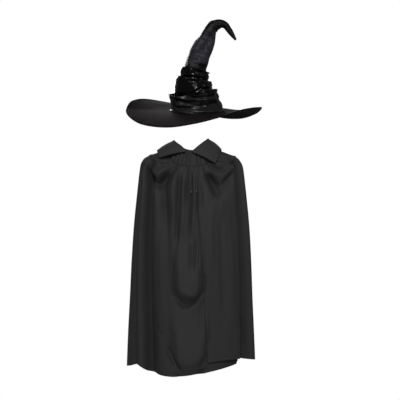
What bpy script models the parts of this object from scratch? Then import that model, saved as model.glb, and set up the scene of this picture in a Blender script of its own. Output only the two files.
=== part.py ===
"""A witch's carnival costume with no wearer in it: a gathered cape with a spread collar, and a bent pointed hat.

Metres, +Z up, and the wearer faces -Y. The origin is the middle of the neck opening, where the collar is sewn on.
Angles run round the body in degrees: 0 is the front, 90 the side at +X, and 180 the back.
"""

from collections import namedtuple
import math

import bmesh
import bpy
from mathutils import Vector

for old in list(bpy.data.objects):
    bpy.data.objects.remove(old)

# Driving sizes of the cape
CAPE_CLOTH = 0.0016
CASING_CLOTH = 0.0012
COLLAR_CLOTH = 0.0022
HEM_Z = -0.850
SIDE_SEAM = 92.0
# A seam's halves start this many degrees, or this share of a level, away from its line, and their second row of
# points is close to the first, so that both halves face the same way there.
SEAM_ANGLE = 0.18
SEAM_LEVEL = 0.010
SEAM_ROW = 1.3
# How far the under front lies below the over front at its edge and at its own hidden edge, and how far it runs on.
LAP_DROP = 0.0056
LAP_SINK = 0.0130
NECK_LAP_ANGLE = 7.0
HEM_LAP_ANGLE = 46.0
# How much higher the over front's hem is than the under front's.
OVER_HEM_RISE = 0.037
GATHERS = 31
GATHER_DEPTH = 0.0019

# Driving sizes of the drawstring
CORD_DIAMETER = 0.0026
KNOT_RADIUS = 0.0034

# Driving sizes of the hat
BRIM_CLOTH = 0.0028
CROWN_CLOTH = 0.0016
DRAPE_CLOTH = 0.0014
HEAD_RADIUS = 0.0935
BRIM_RADIUS = 0.270
BRIM_SHIFT = -0.012
BRIM_CURL = 1.7
HAT_PITCH = math.radians(15.0)
CROWN_SEAT = 0.0030
BRIM_SEAT = 0.10
FOOT_GAP = 0.0012
KNOT_GAP = 0.0004


def smoothstep(low, high, value):
    share = min(1.0, max(0.0, (value - low) / (high - low)))
    return share * share * (3.0 - 2.0 * share)


def mix(first, second, share):
    return first + (second - first) * share


def bell(distance):
    return math.exp(-distance * distance)


def spread(first, last, count):
    return [mix(first, last, index / (count - 1)) for index in range(count)]


def spline(rows, place):
    """The row at a place counted in rows, on a smooth curve through the table's rows."""
    last = len(rows) - 1
    index = min(last - 1, max(0, int(math.floor(place))))
    share = place - index
    before, first, second, after = (rows[min(last, max(0, index + step))] for step in (-1, 0, 1, 2))
    values = []
    for a, b, c, d in zip(before[1:], first[1:], second[1:], after[1:]):
        bend = (2 * a - 5 * b + 4 * c - d) * share ** 2 + (3 * b - a - 3 * c + d) * share ** 3
        values.append(b + 0.5 * ((c - a) * share + bend))
    return type(first)(first[0], *values)


def row_at(rows, key):
    """The row at a key, for tables whose first column rises."""
    for index, (first, second) in enumerate(zip(rows, rows[1:])):
        if key <= second[0] or second is rows[-1]:
            return spline(rows, index + (key - first[0]) / (second[0] - first[0]))


def angle_apart(first, second):
    return (first - second + 180.0) % 360.0 - 180.0


# The cape's level lines, from the collar seam down to the hem: half the width, the depth to the front and back, the
# height of the line at the front, side and back, how flat its front stretch is before it climbs to the side (1 is
# even), and where the over front's free edge crosses it.
Level = namedtuple("Level", "name half_width front_depth back_depth front_z side_z back_z flatness edge_x")
LEVELS = [
    Level("collar seam", 0.064, 0.060, 0.058, -0.008, 0.014, -0.014, 1.0, 0.022),
    Level("casing line", 0.097, 0.084, 0.078, -0.063, 0.005, -0.036, 2.2, 0.030),
    Level("yoke", 0.142, 0.098, 0.094, -0.105, -0.009, -0.070, 1.4, 0.030),
    Level("shoulder", 0.180, 0.107, 0.105, -0.145, -0.025, -0.108, 1.1, 0.030),
    Level("shoulder tip", 0.199, 0.115, 0.113, -0.182, -0.047, -0.148, 1.0, 0.030),
    Level("armhole", 0.206, 0.120, 0.120, -0.220, -0.080, -0.188, 1.0, 0.031),
    Level("upper arm", 0.213, 0.126, 0.127, -0.270, -0.140, -0.245, 1.0, 0.033),
    Level("elbow", 0.228, 0.135, 0.138, -0.370, -0.290, -0.355, 1.0, 0.042),
    Level("waist", 0.237, 0.142, 0.146, -0.480, -0.430, -0.472, 1.0, 0.049),
    Level("hip", 0.244, 0.148, 0.153, -0.605, -0.580, -0.600, 1.0, 0.055),
    Level("thigh", 0.251, 0.154, 0.159, -0.730, -0.715, -0.725, 1.0, 0.061),
    Level("hem", 0.257, 0.160, 0.164, HEM_Z, HEM_Z, HEM_Z, 1.0, 0.066),
]
CASING_LEVEL = 1
THIGH_LEVEL = len(LEVELS) - 2
HEM_LEVEL = len(LEVELS) - 1

# Folds that run down the cape. Each has the angle of its line at the casing and at the hem, its half width there in
# degrees, how far down it starts and ends as shares of the way, and how far it stands out; a valley's is negative.
Fold = namedtuple("Fold", "name top hem top_width hem_width start end rise")
FOLDS = [
    Fold("left edge valley", -84, -58, 4, 4, 0.24, 1.30, -0.010),
    Fold("left edge ridge", -76, -49, 4, 5, 0.20, 1.30, 0.008),
    Fold("left valley", -67, -36, 5, 6, 0.10, 1.30, -0.040),
    Fold("left lip", -60, -26, 4, 4, 0.20, 1.30, 0.006),
    Fold("left of gathers", -36, -20, 7, 4, 0.00, 0.62, -0.016),
    Fold("gather ridge", -24, -12, 5, 4, 0.00, 0.56, 0.010),
    Fold("middle valley", -3, -2, 4, 3, 0.00, 0.46, -0.010),
    Fold("middle ridge", 5, 3, 4, 3, 0.02, 0.50, 0.007),
    Fold("edge valley", 12, 9, 3, 3, 0.06, 0.52, -0.007),
    Fold("right of gathers", 42, 24, 8, 5, 0.00, 0.34, -0.014),
    Fold("right lip", 62, 42, 5, 6, 0.16, 1.30, 0.006),
    Fold("right valley", 70, 52, 5, 7, 0.10, 1.30, -0.034),
    Fold("right edge ridge", 82, 66, 5, 6, 0.20, 1.30, 0.008),
    Fold("right side back", 104, 108, 7, 7, 0.10, 1.30, -0.020),
    Fold("right back ridge", 118, 123, 7, 7, 0.05, 1.30, 0.010),
    Fold("right back valley", 132, 138, 6, 7, 0.00, 1.30, -0.024),
    Fold("right spine ridge", 147, 152, 6, 7, 0.00, 1.30, 0.010),
    Fold("right spine valley", 162, 165, 5, 6, 0.00, 1.30, -0.019),
    Fold("left spine valley", -168, -171, 5, 6, 0.00, 1.30, -0.021),
    Fold("left spine ridge", -154, -157, 6, 7, 0.00, 1.30, 0.009),
    Fold("left back valley", -140, -142, 6, 7, 0.00, 1.30, -0.024),
    Fold("left back ridge", -124, -127, 7, 7, 0.05, 1.30, 0.010),
    Fold("left side back", -108, -112, 7, 7, 0.10, 1.30, -0.019),
]

# Swags hang in a bow from one point to another across the front. Each has its ends, how far it bows down between
# them, its half width, and how far it stands out.
Swag = namedtuple("Swag", "name start_x start_z end_x end_z bow half_width rise")
SWAGS = [
    Swag("left swag", -0.200, -0.024, -0.066, -0.058, 0.048, 0.014, 0.019),
    Swag("under left swag", -0.198, -0.056, -0.070, -0.090, 0.066, 0.018, -0.024),
    Swag("left inner swag", -0.176, -0.004, -0.062, -0.028, 0.030, 0.009, 0.008),
    Swag("right swag", 0.052, -0.056, 0.202, -0.028, 0.054, 0.014, 0.019),
    Swag("under right swag", 0.048, -0.082, 0.192, -0.066, 0.074, 0.019, -0.025),
    Swag("right inner swag", 0.064, -0.034, 0.190, -0.006, 0.036, 0.009, 0.009),
]

# Pouches of slack cloth between the fronts' folds. Each has its middle and half width at the bottom, the heights
# where it starts, is fullest and ends, how much lower its middle hangs than its sides, and how far it stands out.
Pouch = namedtuple("Pouch", "name middle_x half_width start_z full_z end_z dip rise")
POUCHES = [
    Pouch("upper pouch", -0.008, 0.062, -0.300, -0.556, -0.597, 0.075, 0.030),
    Pouch("lower pouch", -0.010, 0.080, -0.620, -0.800, -0.844, 0.095, 0.028),
]

# The under front's hem and the back's: its height at each angle.
Hem = namedtuple("Hem", "angle z")
HEM_LINE = [
    Hem(-180, -0.850), Hem(-130, -0.852), Hem(-90, -0.857), Hem(-68, -0.846), Hem(-52, -0.834),
    Hem(-43, -0.857), Hem(-28, -0.866), Hem(-12, -0.870), Hem(4, -0.862), Hem(21, -0.849), Hem(42, -0.834),
    Hem(60, -0.826), Hem(90, -0.831), Hem(130, -0.842), Hem(180, -0.850),
]

# Levels where the panels have a row of points: closest over the swags and under the pouches.
PANEL_ROWS = [CASING_LEVEL + SEAM_LEVEL, 1.25, 1.55, 1.85, 2.15, 2.45, 2.8, 3.2, 3.7, 4.5, 5.6, 6.8, 7.8,
              8.4, 8.75, 9.1, 9.7, 10.3, 10.65, HEM_LEVEL]

CAPE_BLACK = (0.030, 0.030, 0.031)
COLLAR_BLACK = (0.034, 0.034, 0.035)
CORD_BLACK = (0.040, 0.040, 0.042)


def level_point(angle, level):
    """A point of the cape with no folds in it."""
    row = spline(LEVELS, level)
    across, ahead = math.sin(math.radians(angle)), math.cos(math.radians(angle))
    depth, middle_z = (row.front_depth, row.front_z) if ahead > 0 else (row.back_depth, row.back_z)
    climb = across * across
    if ahead > 0:
        climb = climb ** row.flatness
    return Vector((row.half_width * across, -depth * ahead, mix(middle_z, row.side_z, climb)))


def outward(angle, level):
    around = level_point(angle + 0.5, level) - level_point(angle - 0.5, level)
    down = level_point(angle, min(HEM_LEVEL, level + 0.05)) - level_point(angle, max(0.0, level - 0.05))
    return down.cross(around).normalized()


def share_down(level):
    return (level - CASING_LEVEL) / (HEM_LEVEL - CASING_LEVEL)


def fold_rise(angle, down):
    """How far the folds move the cloth out at an angle and a share of the way down."""
    total = 0.0
    for fold in FOLDS:
        line = mix(fold.top, fold.hem, down)
        width = mix(fold.top_width, fold.hem_width, down)
        fade = smoothstep(fold.start, fold.start + 0.20, down) if fold.start else smoothstep(-0.12, 0.18, down)
        fade *= 1.0 - smoothstep(fold.end - 0.16, fold.end, down)
        total += fold.rise * fade * bell(angle_apart(angle, line) / width)
    return total


def swag_rise(point):
    total = 0.0
    for swag in SWAGS:
        share = (point.x - swag.start_x) / (swag.end_x - swag.start_x)
        if 0.0 < share < 1.0 and point.y < 0.0:
            line = mix(swag.start_z, swag.end_z, share) - 4.0 * swag.bow * share * (1.0 - share)
            ends = smoothstep(0.0, 0.22, share) * (1.0 - smoothstep(0.78, 1.0, share))
            total += swag.rise * ends * bell((point.z - line) / swag.half_width)
    return total


def pouch_rise(point):
    total = 0.0
    for pouch in POUCHES:
        side = abs(point.x - pouch.middle_x) / pouch.half_width
        if side < 1.0 and point.y < 0.0:
            z = point.z - pouch.dip * side * side
            fill = 1.0 - smoothstep(pouch.full_z, pouch.start_z, z)
            fill *= smoothstep(pouch.end_z, pouch.full_z, z)
            total += pouch.rise * fill * (1.0 - smoothstep(0.66, 1.0, side))
    return total


def cape_point(angle, level, lift=0.0, hem_rise=0.0):
    """A point of the cape's outer face, folds and all, moved out by the lift, with its hem at its own height."""
    point = level_point(angle, level)
    rise = fold_rise(angle, share_down(level)) + swag_rise(point) + pouch_rise(point)
    rise *= smoothstep(CASING_LEVEL - 0.2, CASING_LEVEL + 0.4, level)
    point += outward(angle, level) * (rise + lift)
    hem_z = row_at(HEM_LINE, angle_apart(angle, 0.0)).z + hem_rise
    point.z += (hem_z - HEM_Z) * smoothstep(THIGH_LEVEL - 1.0, HEM_LEVEL, level)
    return point


def angle_of(x, level):
    return math.degrees(math.asin(x / spline(LEVELS, level).half_width))


def over_edge(level):
    """The angle of the over front's free edge."""
    return angle_of(spline(LEVELS, level).edge_x, level)


def finish(obj, colour, roughness):
    bpy.context.scene.collection.objects.link(obj)
    material = bpy.data.materials.new(obj.name)
    material.use_nodes = True
    shader = material.node_tree.nodes["Principled BSDF"]
    shader.inputs["Base Color"].default_value = (*colour, 1.0)
    shader.inputs["Roughness"].default_value = roughness
    obj.data.materials.append(material)
    return obj


def cloth(name, rows, thickness, colour, roughness):
    """A wall whose outer face runs through rows of points, each row with rising angles, from the lowest or outermost
    row up. Columns that meet are joined, and so is a last row that comes to a point."""
    form = bmesh.new()
    columns = len(rows[0])
    grid = bmesh.ops.create_grid(form, x_segments=columns - 1, y_segments=len(rows) - 1, size=0.5)["verts"]
    for index, vertex in enumerate(grid):
        vertex.co = rows[index // columns][index % columns]
    bmesh.ops.remove_doubles(form, verts=form.verts, dist=1e-6)
    mesh = bpy.data.meshes.new(name)
    form.to_mesh(mesh)
    form.free()
    mesh.shade_smooth()
    obj = finish(bpy.data.objects.new(name, mesh), colour, roughness)
    wall = obj.modifiers.new("Wall", "SOLIDIFY")
    wall.thickness = thickness
    wall.offset = -1.0
    return obj


def cape_back():
    angles = ([SIDE_SEAM + SEAM_ANGLE] + spread(SIDE_SEAM + SEAM_ROW, 360.0 - SIDE_SEAM - SEAM_ROW, 30)
              + [360.0 - SIDE_SEAM - SEAM_ANGLE])
    rows = [[cape_point(angle, level) for angle in angles] for level in PANEL_ROWS]
    return cloth("cape_back", rows[::-1], CAPE_CLOTH, CAPE_BLACK, 0.75)


def cape_front_under():
    """The front at -X. It runs on under the other front, further at the hem than at the neck."""
    rows = []
    for level in PANEL_ROWS:
        edge = over_edge(level)
        lap = mix(NECK_LAP_ANGLE, HEM_LAP_ANGLE, share_down(level))
        seen = [-SIDE_SEAM + SEAM_ANGLE] + spread(-SIDE_SEAM + SEAM_ROW, -30.0, 15)[:-1]
        seen += spread(-30.0, edge - 2.5, 11)
        hidden = [edge + lap * share for share in (0.02, 0.2, 0.4, 0.6, 0.8, 1.0)]
        drops = [LAP_DROP * smoothstep(edge - 2.6, edge, angle) + LAP_SINK * smoothstep(edge, edge + lap, angle)
                 for angle in seen + hidden]
        rows.append([cape_point(angle, level, -drop) for angle, drop in zip(seen + hidden, drops)])
    return cloth("cape_front_under", rows[::-1], CAPE_CLOTH, CAPE_BLACK, 0.75)


def cape_front_over():
    """The front at +X, whose free edge lies on the other front."""
    rows = []
    for level in PANEL_ROWS:
        angles = spread(over_edge(level), 40.0, 6)[:-1] + spread(40.0, SIDE_SEAM - SEAM_ROW, 12)
        angles.append(SIDE_SEAM - SEAM_ANGLE)
        rises = [OVER_HEM_RISE * (1.0 - smoothstep(14.0, 84.0, angle)) for angle in angles]
        rows.append([cape_point(angle, level, 0.0, rise) for angle, rise in zip(angles, rises)])
    return cloth("cape_front_over", rows[::-1], CAPE_CLOTH, CAPE_BLACK, 0.75)


def gather_rise(angle, level):
    """The casing's fine gathers, slack between its two rows of stitches and flat where the fronts lap."""
    lean = 1.2 * math.sin(math.radians(3.0 * angle + 40.0)) + 0.5 * math.sin(math.radians(7.0 * angle))
    wave = math.sin(math.radians(GATHERS * angle) + lean + 0.5 * level)
    slack = 0.25 + 0.75 * math.sin(math.pi * min(1.0, 0.08 + 0.9 * level)) ** 0.5
    return GATHER_DEPTH * wave * slack


def neck_casing():
    """One strip round the neck, from the over front's edge at +X to its other end beneath that edge."""
    rows = []
    for level in [0.0, 0.2, 0.6, 0.86, CASING_LEVEL - SEAM_LEVEL]:
        edge = over_edge(level)
        row = []
        for angle in spread(edge, 360.0 + edge + NECK_LAP_ANGLE, 4 * GATHERS + 6):
            flat = smoothstep(edge, edge + 6.0, angle) * (1.0 - smoothstep(345.0, 356.0 + edge, angle))
            under = LAP_DROP * smoothstep(356.0 + edge, 360.0 + edge, angle)
            row.append(cape_point(angle, level, gather_rise(angle, level) * flat - under))
        rows.append(row)
    return cloth("neck_casing", rows[::-1], CASING_CLOTH, CAPE_BLACK, 0.75)


# The collar, from its end at -X round the back to its end at +X: the angle round the neck, the height of its fold,
# and the place on the cape that its outer edge lies over.
Collar = namedtuple("Collar", "name neck_angle fold_z edge_angle edge_level")
COLLAR = [
    Collar("left end", -18, -0.001, -62, 1.92),
    Collar("left point", -32, 0.015, -72, 1.86),
    Collar("left front", -56, 0.032, -83, 1.82),
    Collar("left side", -90, 0.045, -98, 1.80),
    Collar("left back", -128, 0.034, -130, 1.85),
    Collar("left of spine", -160, 0.013, -158, 1.95),
    Collar("spine", -192, 0.010, -185, 1.98),
    Collar("right of spine", -220, 0.037, -212, 1.92),
    Collar("right back", -248, 0.049, -240, 1.75),
    Collar("right side", -270, 0.051, -262, 1.55),
    Collar("right front", -292, 0.043, -280, 1.46),
    Collar("right point", -322, 0.018, -297, 1.56),
    Collar("right end", -356, -0.003, -312, 1.74),
]
COLLAR_COLUMNS = 29
COLLAR_LIFT = 0.0095
FOLD_WIDTH = 0.0085
FALL_BULGE = 0.004


def collar():
    """A collar that stands at the seam, turns over, and falls to two points."""
    columns = []
    for place in spread(0.0, len(COLLAR) - 1, COLLAR_COLUMNS):
        row = spline(COLLAR, place)
        seam = level_point(row.neck_angle, 0.0)
        out = Vector((seam.x, seam.y, 0.0)).normalized()
        foot = seam + Vector((0.0, 0.0, 0.0026))
        top = Vector((seam.x, seam.y, row.fold_z)) + out * FOLD_WIDTH * 0.45
        inner = mix(foot, top, 0.72) - out * FOLD_WIDTH * 0.12
        outer = top + out * FOLD_WIDTH * 0.75 - Vector((0.0, 0.0, 0.005))
        edge = cape_point(row.edge_angle, row.edge_level, COLLAR_LIFT)
        up = Vector((out.x, out.y, 1.0)).normalized()
        fall = [mix(outer, edge, share) + up * 4.0 * FALL_BULGE * share * (1.0 - share) for share in (1.0, 0.66, 0.33)]
        columns.append(fall + [outer, top, inner, foot])
    return cloth("collar", list(zip(*columns[::-1])), COLLAR_CLOTH, COLLAR_BLACK, 0.8)


# The drawstring's two free ends: how far down each route point is, its place across, and its height off the cloth.
Route = namedtuple("Route", "name level x lift")
CORDS = {
    "left": [Route("eyelet", 1.02, 0.0020, 0.0030), Route("yoke", 1.80, 0.0012, 0.0040),
             Route("gathers", 2.60, 0.0006, 0.0040), Route("knot", 3.40, 0.0012, 0.0048)],
    "right": [Route("casing end", 0.92, 0.0274, 0.0002), Route("yoke", 1.80, 0.0262, 0.0036),
              Route("gathers", 2.60, 0.0244, 0.0044), Route("knot", 3.40, 0.0226, 0.0048)],
}
CORD_POINTS = 13


def cord_end(side, route):
    points = []
    for place in spread(0.0, len(route) - 1, CORD_POINTS):
        row = spline(route, place)
        points.append(cape_point(angle_of(row.x, row.level), row.level, row.lift))
    curve = bpy.data.curves.new(f"drawstring_{side}", "CURVE")
    curve.dimensions = "3D"
    curve.bevel_depth = CORD_DIAMETER / 2
    curve.bevel_resolution = 2
    curve.use_fill_caps = True
    line = curve.splines.new("POLY")
    line.points.add(CORD_POINTS - 1)
    for spot, point in zip(line.points, points):
        spot.co = (*point, 1.0)
    finish(bpy.data.objects.new(f"drawstring_{side}", curve), CORD_BLACK, 0.5)
    form = bmesh.new()
    bmesh.ops.create_icosphere(form, subdivisions=2, radius=KNOT_RADIUS)
    mesh = bpy.data.meshes.new(f"knot_{side}")
    form.to_mesh(mesh)
    form.free()
    mesh.shade_smooth()
    knot = finish(bpy.data.objects.new(f"knot_{side}", mesh), CORD_BLACK, 0.5)
    knot.location = points[-1] + (points[-1] - points[-2]).normalized() * (KNOT_RADIUS + KNOT_GAP)


# The brim's edge: its height at each angle. It droops at the front, and curls up at the front right and back left.
Rim = namedtuple("Rim", "angle z")
RIM = [
    Rim(-180, 0.200), Rim(-155, 0.225), Rim(-130, 0.232), Rim(-108, 0.211), Rim(-90, 0.169), Rim(-68, 0.128),
    Rim(-45, 0.089), Rim(-22, 0.073), Rim(0, 0.085), Rim(22, 0.112), Rim(45, 0.146), Rim(70, 0.165),
    Rim(90, 0.172), Rim(112, 0.160), Rim(135, 0.149), Rim(158, 0.163), Rim(180, 0.200),
]

# The crown's middle line and radius, from the head opening up to the bend and down to the tip.
Ring = namedtuple("Ring", "name x y z radius")
CROWN = [
    Ring("head opening", 0.0240, 0.000, 0.162, HEAD_RADIUS + CROWN_SEAT),
    Ring("sash", 0.0131, -0.015, 0.214, 0.0780),
    Ring("middle drape", 0.0092, -0.026, 0.260, 0.0610),
    Ring("upper drape", 0.0142, -0.033, 0.299, 0.0470),
    Ring("neck", 0.0202, -0.036, 0.330, 0.0435),
    Ring("lean", 0.0320, -0.037, 0.373, 0.0415),
    Ring("swell", 0.0459, -0.037, 0.405, 0.0390),
    Ring("narrowing", 0.0597, -0.036, 0.433, 0.0335),
    Ring("under the bend", 0.0716, -0.035, 0.461, 0.0285),
    Ring("bend", 0.0874, -0.034, 0.487, 0.0250),
    Ring("top", 0.1112, -0.033, 0.499, 0.0196),
    Ring("over the bend", 0.1350, -0.031, 0.497, 0.0143),
    Ring("falling", 0.1509, -0.029, 0.478, 0.0122),
    Ring("near the tip", 0.1649, -0.028, 0.458, 0.0087),
    Ring("tip", 0.1768, -0.027, 0.4406, 0.0050),
]
TIP = len(CROWN) - 1

# Dents and ridges of the limp upper crown: where each is along the crown and round it, its half sizes in crown rows
# and degrees, how far it turns round the crown for each row, and how far it stands out.
Crumple = namedtuple("Crumple", "name place angle half_rows half_angle turn rise")
CRUMPLES = [
    Crumple("long dent", 6.0, 20, 1.5, 24, 6, -0.0075),
    Crumple("lit ridge", 5.6, -30, 1.6, 18, -4, 0.0050),
    Crumple("lower fold", 4.5, 10, 0.30, 70, 0, 0.0045),
    Crumple("hooked fold", 4.9, -50, 0.28, 45, 0, -0.0045),
    Crumple("neck dent", 4.1, 70, 0.45, 40, 0, -0.0050),
    Crumple("left dent", 7.2, -80, 0.5, 34, 0, -0.0050),
    Crumple("right ridge", 7.0, 75, 0.8, 24, 0, 0.0040),
    Crumple("bend crease", 8.6, 95, 0.40, 70, 0, -0.0058),
    Crumple("second crease", 9.5, 60, 0.36, 60, 0, -0.0042),
    Crumple("third crease", 10.4, 100, 0.34, 60, 0, -0.0036),
    Crumple("top ridge", 9.9, -60, 0.9, 30, 0, 0.0034),
    Crumple("back dent", 6.5, 170, 1.2, 30, -5, -0.0070),
    Crumple("back fold", 4.8, -150, 0.35, 50, 0, 0.0040),
    Crumple("falling crease", 11.8, -40, 0.40, 60, 0, -0.0022),
]

# The bands draped round the crown, the lowest first: where each starts and ends along the crown, how far its foot
# stands off the crown, its radius halfway and at the top, how many folds run round it, how much they slant and how
# deep they are, and how far and in how many waves its top edge ruffles.
Drape = namedtuple("Drape", "name low high foot_out mid_radius high_radius folds slant depth ruffle waves shift")
DRAPES = [
    Drape("hat_sash", 0.05, 1.36, 0.0110, 0.0955, 0.0925, 3.2, 1.5, 0.0046, 0.0085, 7, 0.4),
    Drape("hat_middle_drape", 1.27, 2.62, 0.0023, 0.0765, 0.0700, 2.7, 1.9, 0.0042, 0.0075, 6, 2.2),
    Drape("hat_upper_drape", 2.52, 3.66, 0.0023, 0.0580, 0.0535, 2.2, 1.6, 0.0034, 0.0055, 5, 4.1),
]
VELVET_BLACK = (0.013, 0.013, 0.0135)
SATIN_BLACK = (0.028, 0.028, 0.032)
BRIM_BLACK = (0.030, 0.026, 0.027)


def crown_place(place):
    row = spline(CROWN, place)
    return Vector((row.x, row.y, row.z))


def crown_ring_point(place, angle, radius):
    """A point round the crown's middle line, with 0 at the front as on the cape."""
    low, high = max(0.0, place - 0.05), min(TIP, place + 0.05)
    along = (crown_place(high) - crown_place(low)).normalized()
    if place < 1.0:
        pitched = Vector((0.0, -math.sin(HAT_PITCH), math.cos(HAT_PITCH)))
        along = mix(pitched, along, smoothstep(0.0, 1.0, place)).normalized()
    back = (Vector((0.0, 1.0, 0.0)) - along * along.y).normalized()
    right = back.cross(along)
    turn = math.radians(angle)
    return crown_place(place) + (right * math.sin(turn) - back * math.cos(turn)) * radius


def brim_point(angle, share):
    """A point of the brim's upper face, from the head opening at 0 to the edge at 1."""
    turn = math.radians(angle)
    middle = crown_place(0.0)
    inner = crown_ring_point(0.0, angle, HEAD_RADIUS)
    edge = Vector((middle.x + BRIM_SHIFT + BRIM_RADIUS * math.sin(turn), -BRIM_RADIUS * math.cos(turn), 0.0))
    edge.z = middle.z + edge.y * math.tan(HAT_PITCH)
    lift = row_at(RIM, angle_apart(angle, 0.0)).z - edge.z
    curl = max(0.0, (share - BRIM_SEAT) / (1.0 - BRIM_SEAT)) ** BRIM_CURL
    return mix(inner, edge, share) + Vector((0.0, 0.0, lift * curl))


def on_brim(angle, out):
    """A point just above the brim's flat seat, this far out from the head opening."""
    up = Vector((0.0, -math.sin(HAT_PITCH), math.cos(HAT_PITCH)))
    return crown_ring_point(0.0, angle, HEAD_RADIUS + out) + up * FOOT_GAP


def hat_brim():
    angles = spread(-180.0, 180.0, 37)
    rows = [[brim_point(angle, share) for angle in angles] for share in (1.0, 0.86, 0.62, 0.36, BRIM_SEAT, 0.0)]
    return cloth("hat_brim", rows, BRIM_CLOTH, BRIM_BLACK, 0.7)


def crown_radius(place, angle):
    radius = spline(CROWN, place).radius
    rise = 0.0
    for crumple in CRUMPLES:
        rows_off = (place - crumple.place) / crumple.half_rows
        angle_off = angle_apart(angle, crumple.angle + crumple.turn * (place - crumple.place)) / crumple.half_angle
        rise += crumple.rise * bell(rows_off) * bell(angle_off)
    return radius + rise


def hat_crown():
    """The limp cone. Its foot stands on the brim, just outside the head opening."""
    angles = spread(-180.0, 180.0, 21)
    places = [upper.low for upper in DRAPES[1:]] + [3.3] + spread(3.9, 11.9, 19) + [12.6, 13.3, TIP]
    rows = [[on_brim(angle, CROWN_SEAT) for angle in angles]]
    rows += [[crown_ring_point(place, angle, crown_radius(place, angle)) for angle in angles]
             for place in places]
    last = crown_place(TIP)
    end = last + (last - crown_place(TIP - 0.2)).normalized() * 0.003
    rows.append([crown_ring_point(TIP, angle, 0.003) + (end - last) * 0.7 for angle in angles])
    rows.append([end for angle in angles])
    return cloth("hat_crown", rows, CROWN_CLOTH, SATIN_BLACK, 0.45)


def drape(row):
    angles = spread(-180.0, 180.0, 35)
    rows = []
    for share in spread(0.0, 1.0, 9):
        place = mix(row.low, row.high, share)
        points = []
        for angle in angles:
            turn = math.radians(angle)
            lean = row.slant * math.sin(turn + row.shift) + 0.7 * math.sin(2.0 * turn + 2.0 * row.shift)
            ridge = 1.5 * abs(math.cos(math.pi * row.folds * share + lean)) - 1.0
            low_radius = crown_radius(row.low, angle) + row.foot_out
            radius = mix(low_radius, row.mid_radius, smoothstep(0.0, 0.5, share))
            radius = mix(radius, row.high_radius, max(0.0, 2.0 * share - 1.0))
            radius += row.depth * ridge * smoothstep(0.0, 0.2, share)
            wave = 0.45 + 0.55 * math.sin(row.waves * turn + 3.0 * row.shift + 0.8 * math.sin(2.0 * turn))
            radius += row.ruffle * wave * smoothstep(0.72, 1.0, share)
            points.append(crown_ring_point(place, angle, radius))
        rows.append(points)
    return rows


def hat_sash(row):
    """The widest drape, whose foot lies on the brim."""
    rows = drape(row)
    rows[0] = [on_brim(angle, CROWN_SEAT + row.foot_out) for angle in spread(-180.0, 180.0, len(rows[0]))]
    return cloth(row.name, rows, DRAPE_CLOTH, VELVET_BLACK, 0.5)


cape_back()
cape_front_under()
cape_front_over()
neck_casing()
collar()
for cord_side, cord_route in CORDS.items():
    cord_end(cord_side, cord_route)
hat_brim()
hat_crown()
hat_sash(DRAPES[0])
for upper in DRAPES[1:]:
    cloth(upper.name, drape(upper), DRAPE_CLOTH, VELVET_BLACK, 0.5)
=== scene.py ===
"""A witch's carnival costume as it is worn: a gathered black cape, and above it a wide hat with a bent point."""

from collections import namedtuple
import math

import bmesh
import bpy
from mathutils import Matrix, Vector, noise


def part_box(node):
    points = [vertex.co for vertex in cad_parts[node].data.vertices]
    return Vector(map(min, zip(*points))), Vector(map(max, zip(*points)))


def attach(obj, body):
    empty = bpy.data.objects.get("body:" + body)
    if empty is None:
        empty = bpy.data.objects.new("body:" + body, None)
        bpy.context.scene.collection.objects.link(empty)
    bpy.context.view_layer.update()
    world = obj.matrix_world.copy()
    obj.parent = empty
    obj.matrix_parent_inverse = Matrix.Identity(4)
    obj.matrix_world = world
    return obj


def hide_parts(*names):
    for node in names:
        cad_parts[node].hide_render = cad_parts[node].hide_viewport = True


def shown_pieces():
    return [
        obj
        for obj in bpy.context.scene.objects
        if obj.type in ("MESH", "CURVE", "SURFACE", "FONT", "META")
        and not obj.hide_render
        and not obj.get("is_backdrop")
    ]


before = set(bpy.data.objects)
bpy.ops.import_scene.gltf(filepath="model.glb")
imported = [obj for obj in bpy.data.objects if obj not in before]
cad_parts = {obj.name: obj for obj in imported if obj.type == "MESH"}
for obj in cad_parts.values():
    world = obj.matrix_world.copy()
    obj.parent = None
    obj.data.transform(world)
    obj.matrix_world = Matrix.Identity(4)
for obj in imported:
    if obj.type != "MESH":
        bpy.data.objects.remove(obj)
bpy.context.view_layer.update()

# The studio. The camera looks level and straight at the costume's front, as the photograph was taken. Large soft
# lamps stand above and to both sides, in a white room, and a pale floor lies well below the hem, out of the view.
camera = bpy.data.objects.new("camera", bpy.data.cameras.new("camera"))
camera.location = (0.036, -3.2, -0.196)
camera.rotation_euler = (math.pi / 2, 0.0, 0.0)
camera.data.sensor_width = 36.0
camera.data.lens = 72.0
bpy.context.scene.collection.objects.link(camera)
bpy.context.scene.camera = camera
bpy.context.scene.view_settings.view_transform = "Standard"

room = bpy.data.worlds.new("white_room")
room.use_nodes = True
bpy.context.scene.world = room
room_nodes = room.node_tree.nodes
room_links = room.node_tree.links
room_light = room_nodes["Background"]
room_light.inputs["Color"].default_value = (1.0, 1.0, 1.0, 1.0)
room_light.inputs["Strength"].default_value = 0.10
room_seen = room_nodes.new("ShaderNodeBackground")
room_seen.inputs["Color"].default_value = (1.0, 1.0, 1.0, 1.0)
room_seen.inputs["Strength"].default_value = 1.0
room_path = room_nodes.new("ShaderNodeLightPath")
room_mix = room_nodes.new("ShaderNodeMixShader")
room_links.new(room_path.outputs["Is Camera Ray"], room_mix.inputs[0])
room_links.new(room_light.outputs[0], room_mix.inputs[1])
room_links.new(room_seen.outputs[0], room_mix.inputs[2])
room_links.new(room_mix.outputs[0], room_nodes["World Output"].inputs["Surface"])

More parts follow.
